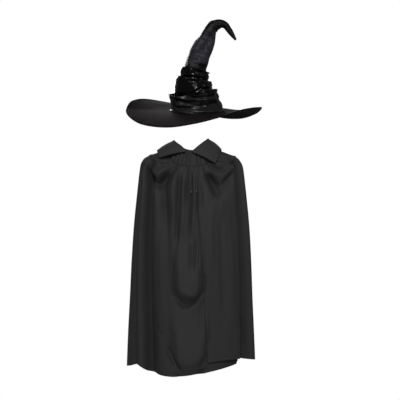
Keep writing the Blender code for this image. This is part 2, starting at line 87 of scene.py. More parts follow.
# The front lamps are in pairs, one for the hat and one for the cape, so that the hat's shadow doesn't fall on the
# cape: the photograph shows them lit apart. The floor has a lamp of its own that keeps it pale.
Lamp = namedtuple("Lamp", "name lights x y z size watts")
LAMPS = [
    Lamp("cape_key_lamp", "cape", -0.2, -4.3, 3.0, 0.9, 124),
    Lamp("hat_key_lamp", "hat", -0.7, -4.3, 3.0, 0.8, 72),
    Lamp("cape_front_lamp", "cape", 0.3, -3.9, -0.4, 1.2, 11),
    Lamp("hat_front_lamp", "hat", 1.2, -3.9, 0.6, 1.0, 14),
    Lamp("side_lamp", "", 3.0, -1.8, 0.8, 1.2, 5),
    Lamp("back_lamp", "", -0.8, 3.0, 1.2, 1.4, 34),
    Lamp("floor_lamp", "floor", 0.0, 0.6, 1.4, 2.0, 22),
]
lamps = {}
for row in LAMPS:
    lamp = bpy.data.objects.new(row.name, bpy.data.lights.new(row.name, "AREA"))
    lamp.data.size = row.size
    lamp.data.energy = row.watts
    lamp.location = (row.x, row.y, row.z)
    aim = Vector((0.0, 0.0, -0.2)) - lamp.location
    lamp.rotation_euler = aim.to_track_quat("-Z", "Y").to_euler()
    bpy.context.scene.collection.objects.link(lamp)
    lamps[row.name] = lamp

FLOOR_Z = -1.46
FLOOR_RADIUS = 1.2
floor_form = bmesh.new()
bmesh.ops.create_circle(floor_form, cap_ends=True, segments=96, radius=FLOOR_RADIUS)
bmesh.ops.translate(floor_form, verts=floor_form.verts, vec=(0.0, 0.0, FLOOR_Z))
floor_mesh = bpy.data.meshes.new("floor")
floor_form.to_mesh(floor_mesh)
floor_form.free()
floor = bpy.data.objects.new("floor", floor_mesh)
bpy.context.scene.collection.objects.link(floor)
floor_paint = bpy.data.materials.new("pale_floor")
floor_paint.use_nodes = True
floor_paint.node_tree.nodes["Principled BSDF"].inputs["Base Color"].default_value = (0.80, 0.80, 0.79, 1.0)
floor_paint.node_tree.nodes["Principled BSDF"].inputs["Roughness"].default_value = 0.8
floor_mesh.materials.append(floor_paint)
floor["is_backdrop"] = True


# The drawstring's two free ends. The real one is a thin black cord of three plies, run through the neck casing and
# out at the fronts, where it hangs about 10 cm down the cape to an overhand knot on each end.
CORD_DIAMETER = 0.0026
CORD_PLIES = 3
CORD_PITCH = 0.0062
CORD_AROUND = 15
CORD_STEP = 0.0006
KNOT_SIZE = 0.00125
TAIL_LENGTH = 0.0050

Point = namedtuple("Point", "x y z")
CORD_ROUTES = {
    "left": [
        Point(0.0020, -0.0868, -0.0630), Point(0.0018, -0.0897, -0.0725), Point(0.0015, -0.0933, -0.0849),
        Point(0.0012, -0.0966, -0.0966), Point(0.0009, -0.0993, -0.1075), Point(0.0007, -0.1016, -0.1185),
        Point(0.0006, -0.1039, -0.1293), Point(0.0007, -0.1068, -0.1408), Point(0.0010, -0.1100, -0.1520),
        Point(0.0012, -0.1122, -0.1596),
    ],
    "right": [
        Point(0.0274, -0.0789, -0.0585), Point(0.0273, -0.0847, -0.0694), Point(0.0271, -0.0917, -0.0830),
        Point(0.0266, -0.0971, -0.0953), Point(0.0260, -0.1008, -0.1061), Point(0.0253, -0.1042, -0.1167),
        Point(0.0247, -0.1078, -0.1270), Point(0.0241, -0.1119, -0.1382), Point(0.0234, -0.1157, -0.1490),
        Point(0.0229, -0.1182, -0.1564),
    ],
}


class Field:
    """A number, colour or direction that varies over a surface: a node's output that sums can be written with."""

    def __init__(self, tree, socket):
        self.tree = tree
        self.socket = socket

    def feed(self, value, socket):
        if isinstance(value, Field):
            self.tree.links.new(value.socket, socket)
        else:
            socket.default_value = value

    def node(self, kind, settings, sockets, output=0):
        made = self.tree.nodes.new(kind)
        for name, value in settings.items():
            setattr(made, name, value)
        for name, value in sockets.items():
            self.feed(value, made.inputs[name])
        return Field(self.tree, made.outputs[output])

    def sum_of(self, operation, first, second):
        return self.node("ShaderNodeMath", {"operation": operation}, {0: first, 1: second})

    def __add__(self, other):
        return self.sum_of("ADD", self, other)

    def __radd__(self, other):
        return self.sum_of("ADD", other, self)

    def __sub__(self, other):
        return self.sum_of("SUBTRACT", self, other)

    def __rsub__(self, other):
        return self.sum_of("SUBTRACT", other, self)

    def __mul__(self, other):
        return self.sum_of("MULTIPLY", self, other)

    def __rmul__(self, other):
        return self.sum_of("MULTIPLY", other, self)


class Finish:
    """A material with its shader, and with the places on its piece as fields."""

    def __init__(self, name, roughness, sheen=0.0):
        self.material = bpy.data.materials.new(name)
        self.material.use_nodes = True
        tree = self.material.node_tree
        self.shader = tree.nodes["Principled BSDF"]
        self.shader.inputs["Roughness"].default_value = roughness
        self.shader.inputs["Sheen Weight"].default_value = sheen
        self.shader.inputs["Sheen Roughness"].default_value = 0.5
        places = tree.nodes.new("ShaderNodeTexCoord")
        self.place = Field(tree, places.outputs["Object"])
        self.weave = Field(tree, places.outputs["UV"])
        self.across = self.place.node("ShaderNodeSeparateXYZ", {}, {"Vector": self.weave}, 0)
        self.along = self.place.node("ShaderNodeSeparateXYZ", {}, {"Vector": self.weave}, 1)

    def threads(self, field, pitch):
        """Rises and falls once in each pitch, from -1 to 1."""
        turns = field * (2.0 * math.pi / pitch)
        return turns.node("ShaderNodeMath", {"operation": "SINE"}, {0: turns})

    def clouds(self, scale, stretch=(1.0, 1.0, 1.0), detail=3.0, roughness=0.5):
        """Soft patches from 0 to 1, about 1/scale of a metre across."""
        spot = self.place.node("ShaderNodeVectorMath", {"operation": "MULTIPLY"}, {0: self.place, 1: stretch})
        sockets = {"Vector": spot, "Scale": scale, "Detail": detail, "Roughness": roughness}
        return spot.node("ShaderNodeTexNoise", {}, sockets)

    def blend(self, share, first, second):
        settings = {"data_type": "RGBA", "clamp_factor": True}
        return share.node("ShaderNodeMix", settings, {0: share, 6: (*first, 1.0), 7: (*second, 1.0)}, 2)

    def colour(self, field):
        field.feed(field, self.shader.inputs["Base Color"])

    def gloss(self, field):
        field.feed(field, self.shader.inputs["Roughness"])

    def relief(self, height, depth, strength=1.0):
        sockets = {"Strength": strength, "Distance": depth, "Height": height}
        bump = height.node("ShaderNodeBump", {}, sockets)
        bump.feed(bump, self.shader.inputs["Normal"])


def show(name, form, finish, slot_name, *solids):
    """Turns a finished form into a piece of the costume that stands for its solids."""
    mesh = bpy.data.meshes.new(name)
    form.to_mesh(mesh)
    form.free()
    mesh.shade_smooth()
    mesh.materials.append(finish.material)
    piece = bpy.data.objects.new(name, mesh)
    bpy.context.scene.collection.objects.link(piece)
    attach(piece, "root")
    if solids:
        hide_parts(*solids)
    return piece


def spline(rows, place):
    """The row at a place counted in rows, on a smooth curve through the table's rows."""
    last = len(rows) - 1
    index = min(last - 1, max(0, int(math.floor(place))))
    share = place - index
    before, first, second, after = (rows[min(last, max(0, index + step))] for step in (-1, 0, 1, 2))
    values = []
    for a, b, c, d in zip(before, first, second, after):
        if isinstance(b, str):
            values.append(b)
            continue
        bend = (2 * a - 5 * b + 4 * c - d) * share ** 2 + (3 * b - a - 3 * c + d) * share ** 3
        values.append(b + 0.5 * ((c - a) * share + bend))
    return type(first)(*values)


def spread(first, last, count):
    return [first + (last - first) * index / (count - 1) for index in range(count)]


def grid_form(rows, hollows=None):
    """A sheet through rows of points, with its weave laid out in metres along both ways, and its hollows if given: a
    layer of painted shade that darkens its colour.
    """
    form = bmesh.new()
    # The hollows are kept as a layer named hollow, which the cape's colour reads as painted shade.
    hollow = form.verts.layers.float.new("hollow") if hollows else None
    columns = len(rows[0])
    grid = bmesh.ops.create_grid(form, x_segments=columns - 1, y_segments=len(rows) - 1, size=0.5)["verts"]
    weave = form.loops.layers.uv.new("weave")
    middle = rows[len(rows) // 2]
    across = [0.0]
    for first, second in zip(middle, middle[1:]):
        across.append(across[-1] + (second - first).length)
    down = [0.0]
    for first, second in zip(rows, rows[1:]):
        down.append(down[-1] + (second[columns // 2] - first[columns // 2]).length)
    for index, vertex in enumerate(grid):
        vertex.co = rows[index // columns][index % columns]
        for loop in vertex.link_loops:
            loop[weave].uv = (across[index % columns], down[index // columns])
        if hollows:
            vertex[hollow] = hollows[index // columns][index % columns]
    bmesh.ops.remove_doubles(form, verts=form.verts, dist=1e-6)
    return form


def rope_form(line, radius, plies, pitch, around):
    """A twisted rope along a line, with its plies standing out and both ends closed."""
    rows = []
    run = 0.0
    for index, point in enumerate(line):
        ahead = line[min(len(line) - 1, index + 1)] - line[max(0, index - 1)]
        ahead.normalize()
        side = Vector((1.0, 0.0, 0.0)) - ahead * ahead.x
        if side.length < 0.3:
            side = Vector((0.0, 1.0, 0.0)) - ahead * ahead.y
        side.normalize()
        front = ahead.cross(side)
        if index:
            run += (point - line[index - 1]).length
        row = []
        for turn in spread(0.0, 2.0 * math.pi, around + 1):
            ply = abs(math.cos(plies * 0.5 * turn + math.pi * plies * run / pitch))
            out = radius * (0.80 + 0.22 * ply)
            row.append(point + (side * math.cos(turn) + front * math.sin(turn)) * out)
        rows.append(row)
    form = grid_form(rows)
    bmesh.ops.holes_fill(form, edges=[edge for edge in form.edges if edge.is_boundary], sides=0)
    bmesh.ops.recalc_face_normals(form, faces=form.faces)
    return form


def fine_line(points, step):
    """The points of a smooth line, this far apart."""
    places = spread(0.0, len(points) - 1, 40 * len(points))
    dense = [Vector(spline(points, place)) for place in places]
    line = [dense[0]]
    gone = 0.0
    for first, second in zip(dense, dense[1:]):
        gone += (second - first).length
        if gone >= step:
            line.append(second)
            gone = 0.0
    return line


cord_finish = Finish("black_cord", 0.55, 0.2)
cord_fibres = cord_finish.threads(cord_finish.across + cord_finish.along * 0.6, 0.00035)
cord_finish.colour(cord_finish.blend(cord_finish.clouds(700.0), (0.028, 0.028, 0.030), (0.060, 0.060, 0.064)))
cord_finish.relief(cord_fibres + cord_finish.clouds(2400.0) * 0.6, 0.00008, 0.6)

# Painted highlight: the knots are the same cord painted about twice as light as the rest of it, mottled at random.
knot_finish = Finish("knotted_cord", 0.50, 0.3)
knot_highlight_mottle = knot_finish.clouds(900.0)
knot_finish.colour(knot_finish.blend(knot_highlight_mottle, (0.050, 0.050, 0.054), (0.130, 0.130, 0.136)))
knot_finish.relief(knot_finish.clouds(2200.0), 0.0002, 0.6)

for side, route in CORD_ROUTES.items():
    line = fine_line(route, CORD_STEP)
    rope = rope_form(line, CORD_DIAMETER / 2, CORD_PLIES, CORD_PITCH, CORD_AROUND)
    cord = show(f"drawstring_{side}_cord", rope, cord_finish, "cord", f"drawstring_{side}")
    low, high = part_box(f"knot_{side}")
    knot_middle = (low + high) / 2
    loop_line = []
    for turn in spread(0.0, 2.0 * math.pi, 97):
        wide = math.sin(turn) + 2.0 * math.sin(2.0 * turn)
        tall = math.cos(turn) - 2.0 * math.cos(2.0 * turn)
        deep = -math.sin(3.0 * turn)
        loop_line.append(knot_middle + Vector((wide * 0.8, deep, tall)) * KNOT_SIZE * 0.68)
    knot_form = rope_form(loop_line, CORD_DIAMETER / 2 * 0.9, CORD_PLIES, CORD_PITCH, CORD_AROUND)
    heart = bmesh.ops.create_icosphere(knot_form, subdivisions=2, radius=KNOT_SIZE)["verts"]
    bmesh.ops.translate(knot_form, verts=heart, vec=knot_middle)
    tail_line = [knot_middle + Vector((0.0003, -0.0004, -0.0012 - TAIL_LENGTH * share)) for share in spread(0, 1, 12)]
    tail_form = rope_form(tail_line, CORD_DIAMETER / 2 * 0.85, CORD_PLIES, CORD_PITCH, CORD_AROUND)
    tail_mesh = bpy.data.meshes.new("tail")
    tail_form.to_mesh(tail_mesh)
    tail_form.free()
    knot_form.from_mesh(tail_mesh)
    bpy.data.meshes.remove(tail_mesh)
    knot = show(f"knot_{side}_tied", knot_form, knot_finish, "cord", f"knot_{side}")
    length = sum((second - first).length for first, second in zip(line, line[1:]))


# The cape's back and two fronts. The real one is thin matt black polyester in three panels, sewn together at the
# sides, gathered into the neck casing, lapped down the front, and turned up in a narrow stitched hem.
HEM_Z = -0.850
SIDE_SEAM = 92.0
SEAM_HALF_GAP = 0.03
SEAM_GROOVE = 0.0014
SEAM_TUCK = 0.0026
SEAM_ALLOWANCE = 2.4
LAP_DROP = 0.0056
LAP_SINK = 0.0130
NECK_LAP_ANGLE = 7.0
HEM_LAP_ANGLE = 46.0
OVER_HEM_RISE = 0.037
GATHERS = 31
GATHER_DEPTH = 0.0019
CAPE_CLOTH = 0.0009
HEM_WIDTH = 0.016
CASING_LEVEL = 1
HEM_LEVEL = 11
THIGH_LEVEL = 10

# Its level lines from the collar seam to the hem, as in the solid.
Level = namedtuple("Level", "name half_width front_depth back_depth front_z side_z back_z flatness edge_x")
LEVELS = [
    Level("collar seam", 0.064, 0.060, 0.058, -0.008, 0.014, -0.014, 1.0, 0.022),
    Level("casing line", 0.097, 0.084, 0.078, -0.063, 0.005, -0.036, 2.2, 0.030),
    Level("yoke", 0.142, 0.098, 0.094, -0.105, -0.009, -0.070, 1.4, 0.030),
    Level("shoulder", 0.180, 0.107, 0.105, -0.145, -0.025, -0.108, 1.1, 0.030),
    Level("shoulder tip", 0.199, 0.115, 0.113, -0.182, -0.047, -0.148, 1.0, 0.030),
    Level("armhole", 0.206, 0.120, 0.120, -0.220, -0.080, -0.188, 1.0, 0.031),
    Level("upper arm", 0.213, 0.126, 0.127, -0.270, -0.140, -0.245, 1.0, 0.033),
    Level("elbow", 0.228, 0.135, 0.138, -0.370, -0.290, -0.355, 1.0, 0.042),
    Level("waist", 0.237, 0.142, 0.146, -0.480, -0.430, -0.472, 1.0, 0.049),
    Level("hip", 0.244, 0.148, 0.153, -0.605, -0.580, -0.600, 1.0, 0.055),
    Level("thigh", 0.251, 0.154, 0.159, -0.730, -0.715, -0.725, 1.0, 0.061),
    Level("hem", 0.257, 0.160, 0.164, HEM_Z, HEM_Z, HEM_Z, 1.0, 0.066),
]

Fold = namedtuple("Fold", "name top hem top_width hem_width start end rise")
FOLDS = [
    Fold("left edge valley", -84, -58, 4, 4, 0.24, 1.30, -0.010),
    Fold("left edge ridge", -76, -49, 4, 5, 0.20, 1.30, 0.008),
    Fold("left valley", -67, -38, 6, 8, 0.10, 1.30, -0.037),
    Fold("left lip", -58, -24, 5, 5, 0.20, 1.30, 0.002),
    Fold("left of gathers", -36, -20, 7, 4, 0.00, 0.62, -0.016),
    Fold("gather ridge", -24, -12, 5, 4, 0.00, 0.56, 0.010),
    Fold("middle valley", -3, -2, 4, 3, 0.00, 0.46, -0.010),
    Fold("middle ridge", 5, 3, 4, 3, 0.02, 0.50, 0.007),
    Fold("edge valley", 12, 9, 3, 3, 0.06, 0.52, -0.007),
    Fold("right of gathers", 42, 24, 8, 5, 0.00, 0.34, -0.014),
    Fold("right lip", 64, 46, 5, 6, 0.16, 1.30, 0.002),
    Fold("right valley", 75, 59, 6, 8, 0.10, 1.30, -0.036),
    Fold("right edge ridge", 87, 74, 4, 5, 0.20, 1.30, 0.006),
    Fold("right side back", 104, 108, 7, 7, 0.10, 1.30, -0.020),
    Fold("right back ridge", 118, 123, 7, 7, 0.05, 1.30, 0.010),
    Fold("right back valley", 132, 138, 6, 7, 0.00, 1.30, -0.024),
    Fold("right spine ridge", 147, 152, 6, 7, 0.00, 1.30, 0.010),
    Fold("right spine valley", 162, 165, 5, 6, 0.00, 1.30, -0.019),
    Fold("left spine valley", -168, -171, 5, 6, 0.00, 1.30, -0.021),
    Fold("left spine ridge", -154, -157, 6, 7, 0.00, 1.30, 0.009),
    Fold("left back valley", -140, -142, 6, 7, 0.00, 1.30, -0.024),
    Fold("left back ridge", -124, -127, 7, 7, 0.05, 1.30, 0.010),
    Fold("left side back", -108, -112, 7, 7, 0.10, 1.30, -0.019),
]

Swag = namedtuple("Swag", "name start_x start_z end_x end_z bow point half_width lower_width rise")
SWAGS = [
    Swag("left swag", -0.196, -0.030, -0.070, -0.052, 0.054, 1.5, 0.015, 0.014, 0.010),
    Swag("under left swag", -0.198, -0.050, -0.064, -0.080, 0.066, 1.1, 0.018, 0.036, -0.017),
    Swag("left inner swag", -0.176, -0.004, -0.062, -0.028, 0.030, 2.0, 0.009, 0.009, 0.008),
    Swag("right swag", 0.050, -0.052, 0.196, -0.036, 0.054, 1.5, 0.015, 0.014, 0.010),
    Swag("under right swag", 0.040, -0.070, 0.190, -0.070, 0.072, 1.1, 0.018, 0.040, -0.016),
    Swag("right inner swag", 0.064, -0.034, 0.190, -0.006, 0.036, 2.0, 0.009, 0.009, 0.009),
]

Pouch = namedtuple("Pouch", "name middle_x half_width start_z full_z end_z dip rise")
POUCHES = [
    Pouch("upper pouch", -0.008, 0.066, -0.330, -0.556, -0.606, 0.075, 0.032),
    Pouch("lower pouch", -0.004, 0.084, -0.620, -0.806, -0.848, 0.095, 0.030),
]

Hem = namedtuple("Hem", "angle z")
HEM_LINE = [
    Hem(-180, -0.850), Hem(-130, -0.852), Hem(-90, -0.857), Hem(-68, -0.846), Hem(-52, -0.834),
    Hem(-43, -0.857), Hem(-28, -0.866), Hem(-12, -0.870), Hem(4, -0.862), Hem(21, -0.849), Hem(42, -0.834),
    Hem(60, -0.826), Hem(90, -0.831), Hem(130, -0.842), Hem(180, -0.850),
]

# Sharp small creases in the slack cloth: three points of each as the front view shows them, its half width, and how
# far it stands out.
Crease = namedtuple("Crease", "name x1 z1 x2 z2 x3 z3 half_width rise")
CREASES = [
    Crease("beside the edge", 0.002, -0.056, -0.002, -0.196, -0.008, -0.400, 0.0052, -0.0085),
    Crease("strip beside it", 0.014, -0.062, 0.012, -0.200, 0.010, -0.360, 0.0075, 0.0030),
    Crease("left of the pouch", -0.044, -0.064, -0.052, -0.216, -0.064, -0.444, 0.0090, -0.0110),
    Crease("gathered ridge", -0.028, -0.070, -0.032, -0.200, -0.040, -0.400, 0.0100, 0.0050),
    Crease("upper pouch left side", -0.068, -0.440, -0.076, -0.532, -0.068, -0.598, 0.0060, -0.0080),
    Crease("upper pouch foot", -0.072, -0.580, -0.022, -0.634, 0.040, -0.576, 0.0050, -0.0060),
    Crease("upper pouch right side", 0.030, -0.592, 0.054, -0.548, 0.052, -0.476, 0.0056, -0.0070),
    Crease("lobe foot", -0.028, -0.548, 0.006, -0.586, 0.040, -0.552, 0.0100, 0.0050),
    Crease("first crease", -0.005, -0.364, -0.004, -0.428, -0.005, -0.490, 0.0050, -0.0070),
    Crease("second crease", 0.018, -0.336, 0.013, -0.420, 0.006, -0.494, 0.0050, -0.0070),
    Crease("third crease", 0.036, -0.316, 0.034, -0.400, 0.030, -0.476, 0.0050, -0.0040),
    Crease("left slanting crease", -0.099, -0.760, -0.070, -0.816, -0.036, -0.872, 0.0055, -0.0120),
    Crease("second slanting crease", -0.103, -0.786, -0.086, -0.820, -0.064, -0.856, 0.0050, -0.0090),
    Crease("short crease", -0.138, -0.684, -0.128, -0.712, -0.118, -0.736, 0.0050, -0.0040),
    Crease("lower pouch foot", -0.076, -0.872, -0.004, -0.890, 0.074, -0.858, 0.0110, -0.0150),
    Crease("beside the lap", 0.052, -0.576, 0.040, -0.664, 0.052, -0.776, 0.0088, -0.0060),
    Crease("right deep crease", 0.202, -0.648, 0.204, -0.740, 0.210, -0.822, 0.0055, -0.0080),
    Crease("right soft fold", 0.124, -0.222, 0.126, -0.444, 0.140, -0.736, 0.0120, -0.0050),
    Crease("right second soft fold", 0.088, -0.196, 0.082, -0.336, 0.088, -0.488, 0.0096, 0.0040),
    Crease("right third soft fold", 0.160, -0.320, 0.166, -0.500, 0.178, -0.800, 0.0130, 0.0040),
    Crease("left soft fold", -0.124, -0.336, -0.116, -0.516, -0.104, -0.736, 0.0128, 0.0040),
    Crease("left second soft fold", -0.090, -0.200, -0.092, -0.380, -0.088, -0.560, 0.0110, -0.0035),
    Crease("left shoulder hollow", -0.176, -0.052, -0.156, -0.100, -0.130, -0.160, 0.0150, -0.0040),
    Crease("left hollow's far side", -0.130, -0.156, -0.112, -0.116, -0.096, -0.076, 0.0140, -0.0080),
    Crease("right shoulder hollow", 0.064, -0.080, 0.088, -0.132, 0.114, -0.206, 0.0150, -0.0150),
    Crease("under right leaf", 0.064, -0.048, 0.100, -0.072, 0.140, -0.068, 0.0060, -0.0050),
    Crease("over right shoulder", 0.124, -0.028, 0.152, -0.048, 0.180, -0.040, 0.0060, -0.0050),
    Crease("under left leaf", -0.136, -0.036, -0.104, -0.056, -0.080, -0.036, 0.0060, -0.0050),
]


def smoothstep(low, high, value):
    share = min(1.0, max(0.0, (value - low) / (high - low)))
    return share * share * (3.0 - 2.0 * share)


def mix(first, second, share):
    return first + (second - first) * share


def bell(distance):
    return math.exp(-distance * distance) if abs(distance) < 3.2 else 0.0


def row_at(rows, key):
    """The row at a key, for tables whose first column rises."""
    for index, (first, second) in enumerate(zip(rows, rows[1:])):
        if key <= second[0] or second is rows[-1]:
            return spline(rows, index + (key - first[0]) / (second[0] - first[0]))


def angle_apart(first, second):
    return (first - second + 180.0) % 360.0 - 180.0


def level_point(angle, level):
    """A point of the cape with no folds in it."""
    row = spline(LEVELS, level)
    across, ahead = math.sin(math.radians(angle)), math.cos(math.radians(angle))
    depth, middle_z = (row.front_depth, row.front_z) if ahead > 0 else (row.back_depth, row.back_z)
    climb = across * across
    if ahead > 0:
        climb = climb ** row.flatness
    return Vector((row.half_width * across, -depth * ahead, mix(middle_z, row.side_z, climb)))


def outward(angle, level):
    around = level_point(angle + 0.5, level) - level_point(angle - 0.5, level)
    down = level_point(angle, min(HEM_LEVEL, level + 0.05)) - level_point(angle, max(0.0, level - 0.05))
    return down.cross(around).normalized()


def share_down(level):
    return (level - CASING_LEVEL) / (HEM_LEVEL - CASING_LEVEL)


def fold_rise(angle, down):
    total = 0.0
    for fold in FOLDS:
        line = mix(fold.top, fold.hem, down)
        width = mix(fold.top_width, fold.hem_width, down)
        near = bell(angle_apart(angle, line) / width)
        if near:
            fade = smoothstep(fold.start, fold.start + 0.20, down) if fold.start else smoothstep(-0.12, 0.18, down)
            fade *= 1.0 - smoothstep(fold.end - 0.16, fold.end, down)
            total += fold.rise * fade * near
    return total


def swag_rise(point):
    total = 0.0
    for swag in SWAGS:
        share = (point.x - swag.start_x) / (swag.end_x - swag.start_x)
        if 0.0 < share < 1.0 and point.y < 0.0:
            hang = swag.bow * (1.0 - abs(2.0 * share - 1.0) ** swag.point)
            off = point.z - mix(swag.start_z, swag.end_z, share) + hang
            ends = smoothstep(0.0, 0.30, share) * (1.0 - smoothstep(0.70, 1.0, share))
            total += swag.rise * ends * bell(off / (swag.half_width if off > 0.0 else swag.lower_width))
    return total


def pouch_rise(point):
    total = 0.0
    for pouch in POUCHES:
        side = abs(point.x - pouch.middle_x) / pouch.half_width
        if side < 1.0 and point.y < 0.0:
            z = point.z - pouch.dip * side * side
            fill = 1.0 - smoothstep(pouch.full_z, pouch.start_z, z)
            fill *= smoothstep(pouch.end_z, pouch.full_z, z)
            total += pouch.rise * fill * (1.0 - smoothstep(0.42, 1.0, side))
    return total


# Each crease's line as a row of short straight steps, with the height where it starts and ends.
CREASE_LINES = []
for crease in CREASES:
    bend_x = 2.0 * crease.x2 - 0.5 * (crease.x1 + crease.x3)
    bend_z = 2.0 * crease.z2 - 0.5 * (crease.z1 + crease.z3)
    steps = []
    for share in spread(0.0, 1.0, 13):
        first, middle, last = (1.0 - share) ** 2, 2.0 * share * (1.0 - share), share * share
        steps.append((first * crease.x1 + middle * bend_x + last * crease.x3,
                      first * crease.z1 + middle * bend_z + last * crease.z3, share))
    reach = 3.0 * crease.half_width
    box = (min(s[0] for s in steps) - reach, max(s[0] for s in steps) + reach,
           min(s[1] for s in steps) - reach, max(s[1] for s in steps) + reach)
    CREASE_LINES.append((crease, steps, box))


def crease_rise(point):
    """How far the sharp creases move the cloth out, at a point seen from the front."""
    if point.y > 0.0:
        return 0.0
    grown = 3.2 / (3.2 + point.y)
    x = 0.036 + (point.x - 0.036) * grown
    z = -0.196 + (point.z + 0.196) * grown
    total = 0.0
    for crease, steps, box in CREASE_LINES:
        if box[0] < x < box[1] and box[2] < z < box[3]:
            nearest, place = 1.0, 0.0
            for first, second in zip(steps, steps[1:]):
                run_x, run_z = second[0] - first[0], second[1] - first[1]
                along = ((x - first[0]) * run_x + (z - first[1]) * run_z) / (run_x ** 2 + run_z ** 2)
                along = min(1.0, max(0.0, along))
                off = math.hypot(x - first[0] - along * run_x, z - first[1] - along * run_z)
                if off < nearest:
                    nearest, place = off, mix(first[2], second[2], along)
            ends = smoothstep(0.0, 0.25, place) * (1.0 - smoothstep(0.75, 1.0, place))
            total += crease.rise * ends * bell(nearest / crease.half_width)
    return total


def gather_rise(angle, level):
    """The neck's fine gathers, slack between the casing's two rows of stitches."""
    lean = 1.2 * math.sin(math.radians(3.0 * angle + 40.0)) + 0.5 * math.sin(math.radians(7.0 * angle))
    wave = math.sin(math.radians(GATHERS * angle) + lean + 0.5 * level)
    slack = 0.25 + 0.75 * math.sin(math.pi * min(1.0, 0.08 + 0.9 * level)) ** 0.5
    return GATHER_DEPTH * wave * slack


def slack_rise(angle, level, point):
    """The small unevenness of thin cloth: gathers that run out below the casing, and long soft ripples."""
    wave = noise.noise(Vector((angle * 0.22, level * 0.45, 3.1)))
    ripple = noise.noise(Vector((angle * 0.075, level * 0.20, 7.7)))
    run_out = 1.6 + 0.9 * noise.noise(Vector((angle * 0.15, 0.0, 1.3)))
    below = 1.0 - smoothstep(1.0, run_out + 0.6, level)
    gathers = gather_rise(angle, 0.6) * 0.9 * below * smoothstep(0.98, 1.06, level)
    return gathers + 0.0009 * wave + 0.0030 * ripple * smoothstep(1.4, 3.5, level)


def cape_point(angle, level, lift=0.0, hem_rise=0.0):
    """A point of the cape's outer face, folds and all, moved out by the lift, with its hem at its own height."""
    point = level_point(angle, level)
    rise = fold_rise(angle, share_down(level)) + swag_rise(point) + pouch_rise(point)
    rise *= smoothstep(CASING_LEVEL - 0.2, CASING_LEVEL + 0.4, level)
    if level > CASING_LEVEL:
        seen = point + outward(angle, level) * rise
        rise += crease_rise(seen) + slack_rise(angle, level, point)
    point += outward(angle, level) * (rise + lift)
    hem_z = row_at(HEM_LINE, angle_apart(angle, 0.0)).z + hem_rise
    point.z += (hem_z - HEM_Z) * smoothstep(THIGH_LEVEL - 1.0, HEM_LEVEL, level)
    return point


def angle_of(x, level):
    return math.degrees(math.asin(x / spline(LEVELS, level).half_width))


def over_edge(level):
    """The angle of the over front's free edge."""
    return angle_of(spline(LEVELS, level).edge_x, level)


def sewn_in(angle, level):
    """How far the cloth dips where it is turned in at the side seams, the casing seam and the hem's stitches."""
    side = min(abs(angle_apart(angle, SIDE_SEAM)), abs(angle_apart(angle, -SIDE_SEAM)))
    dip = SEAM_GROOVE * (1.0 - smoothstep(SEAM_HALF_GAP, 1.1, side))
    dip += 0.0022 * (1.0 - smoothstep(0.0, 0.07, level - CASING_LEVEL))
    hem_line = (HEM_LEVEL - level) * 0.120 - HEM_WIDTH
    dip += 0.0007 * bell(hem_line / 0.0022)
    return dip


def panel_levels(count):
    top = CASING_LEVEL + 0.006
    return spread(top, 1.12, 7)[:-1] + spread(1.12, 10.72, count)[:-1] + spread(10.72, HEM_LEVEL, 15)


def painted_shade_share(angle, level, point):
    """How deep in a hollow the cloth lies at a point of it, from 0 to 1: the mask of the shade painted into the cape's
    colour in its folds.
    """
    return smoothstep(-0.001, 0.023, (level_point(angle, level) - point).dot(outward(angle, level)))


def cloth_piece(name, rows, thickness, finish, slot_name, solid, hollows=None):
    """A cloth piece whose outer face runs through the rows, from the lowest or outermost row up."""
    piece = show(name, grid_form(rows, hollows), finish, slot_name, solid)
    wall = piece.modifiers.new("Wall", "SOLIDIFY")
    wall.thickness = thickness
    wall.offset = -1.0
    return piece


def stitch_line(name, line, stitch, gap, thread, finish, closed=False):
    """A row of single stitches along a line on the cloth, each a short curved thread."""
    curve = bpy.data.curves.new(name, "CURVE")
    curve.dimensions = "3D"
    curve.bevel_depth = thread / 2
    curve.bevel_resolution = 1
    curve.use_fill_caps = True
    reach = [0.0]
    for first, second in zip(line, line[1:]):
        reach.append(reach[-1] + (second[0] - first[0]).length)
    place = gap
    index = 0
    while place + stitch < reach[-1]:
        spots = []
        for share, height in ((0.0, -0.4), (0.25, 0.35), (0.75, 0.35), (1.0, -0.4)):
            want = place + stitch * share
            while reach[index + 1] < want:
                index += 1
            part = (want - reach[index]) / (reach[index + 1] - reach[index])
            spot, out = (mix(line[index][item], line[index + 1][item], part) for item in (0, 1))
            spots.append(spot + out * height * thread)
        run = curve.splines.new("POLY")
        run.points.add(len(spots) - 1)
        for point, spot in zip(run.points, spots):
            point.co = (*spot, 1.0)
        place += stitch + gap
        index = max(0, index - 2)
    curve.materials.append(finish.material)
    piece = bpy.data.objects.new(name, curve)
    bpy.context.scene.collection.objects.link(piece)
    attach(piece, "root")
    return piece


cape_finish = Finish("matt_black_polyester", 0.76, 0.03)
cape_weave = cape_finish.threads(cape_finish.across, 0.0007) + cape_finish.threads(cape_finish.along, 0.0007)
cape_patches = cape_finish.clouds(7.0, (1.0, 1.0, 0.35), 4.0, 0.6)
cape_slubs = cape_finish.clouds(260.0, (1.0, 1.0, 0.06), 2.0)
cape_shade = cape_patches * 0.7 + cape_slubs * 0.3
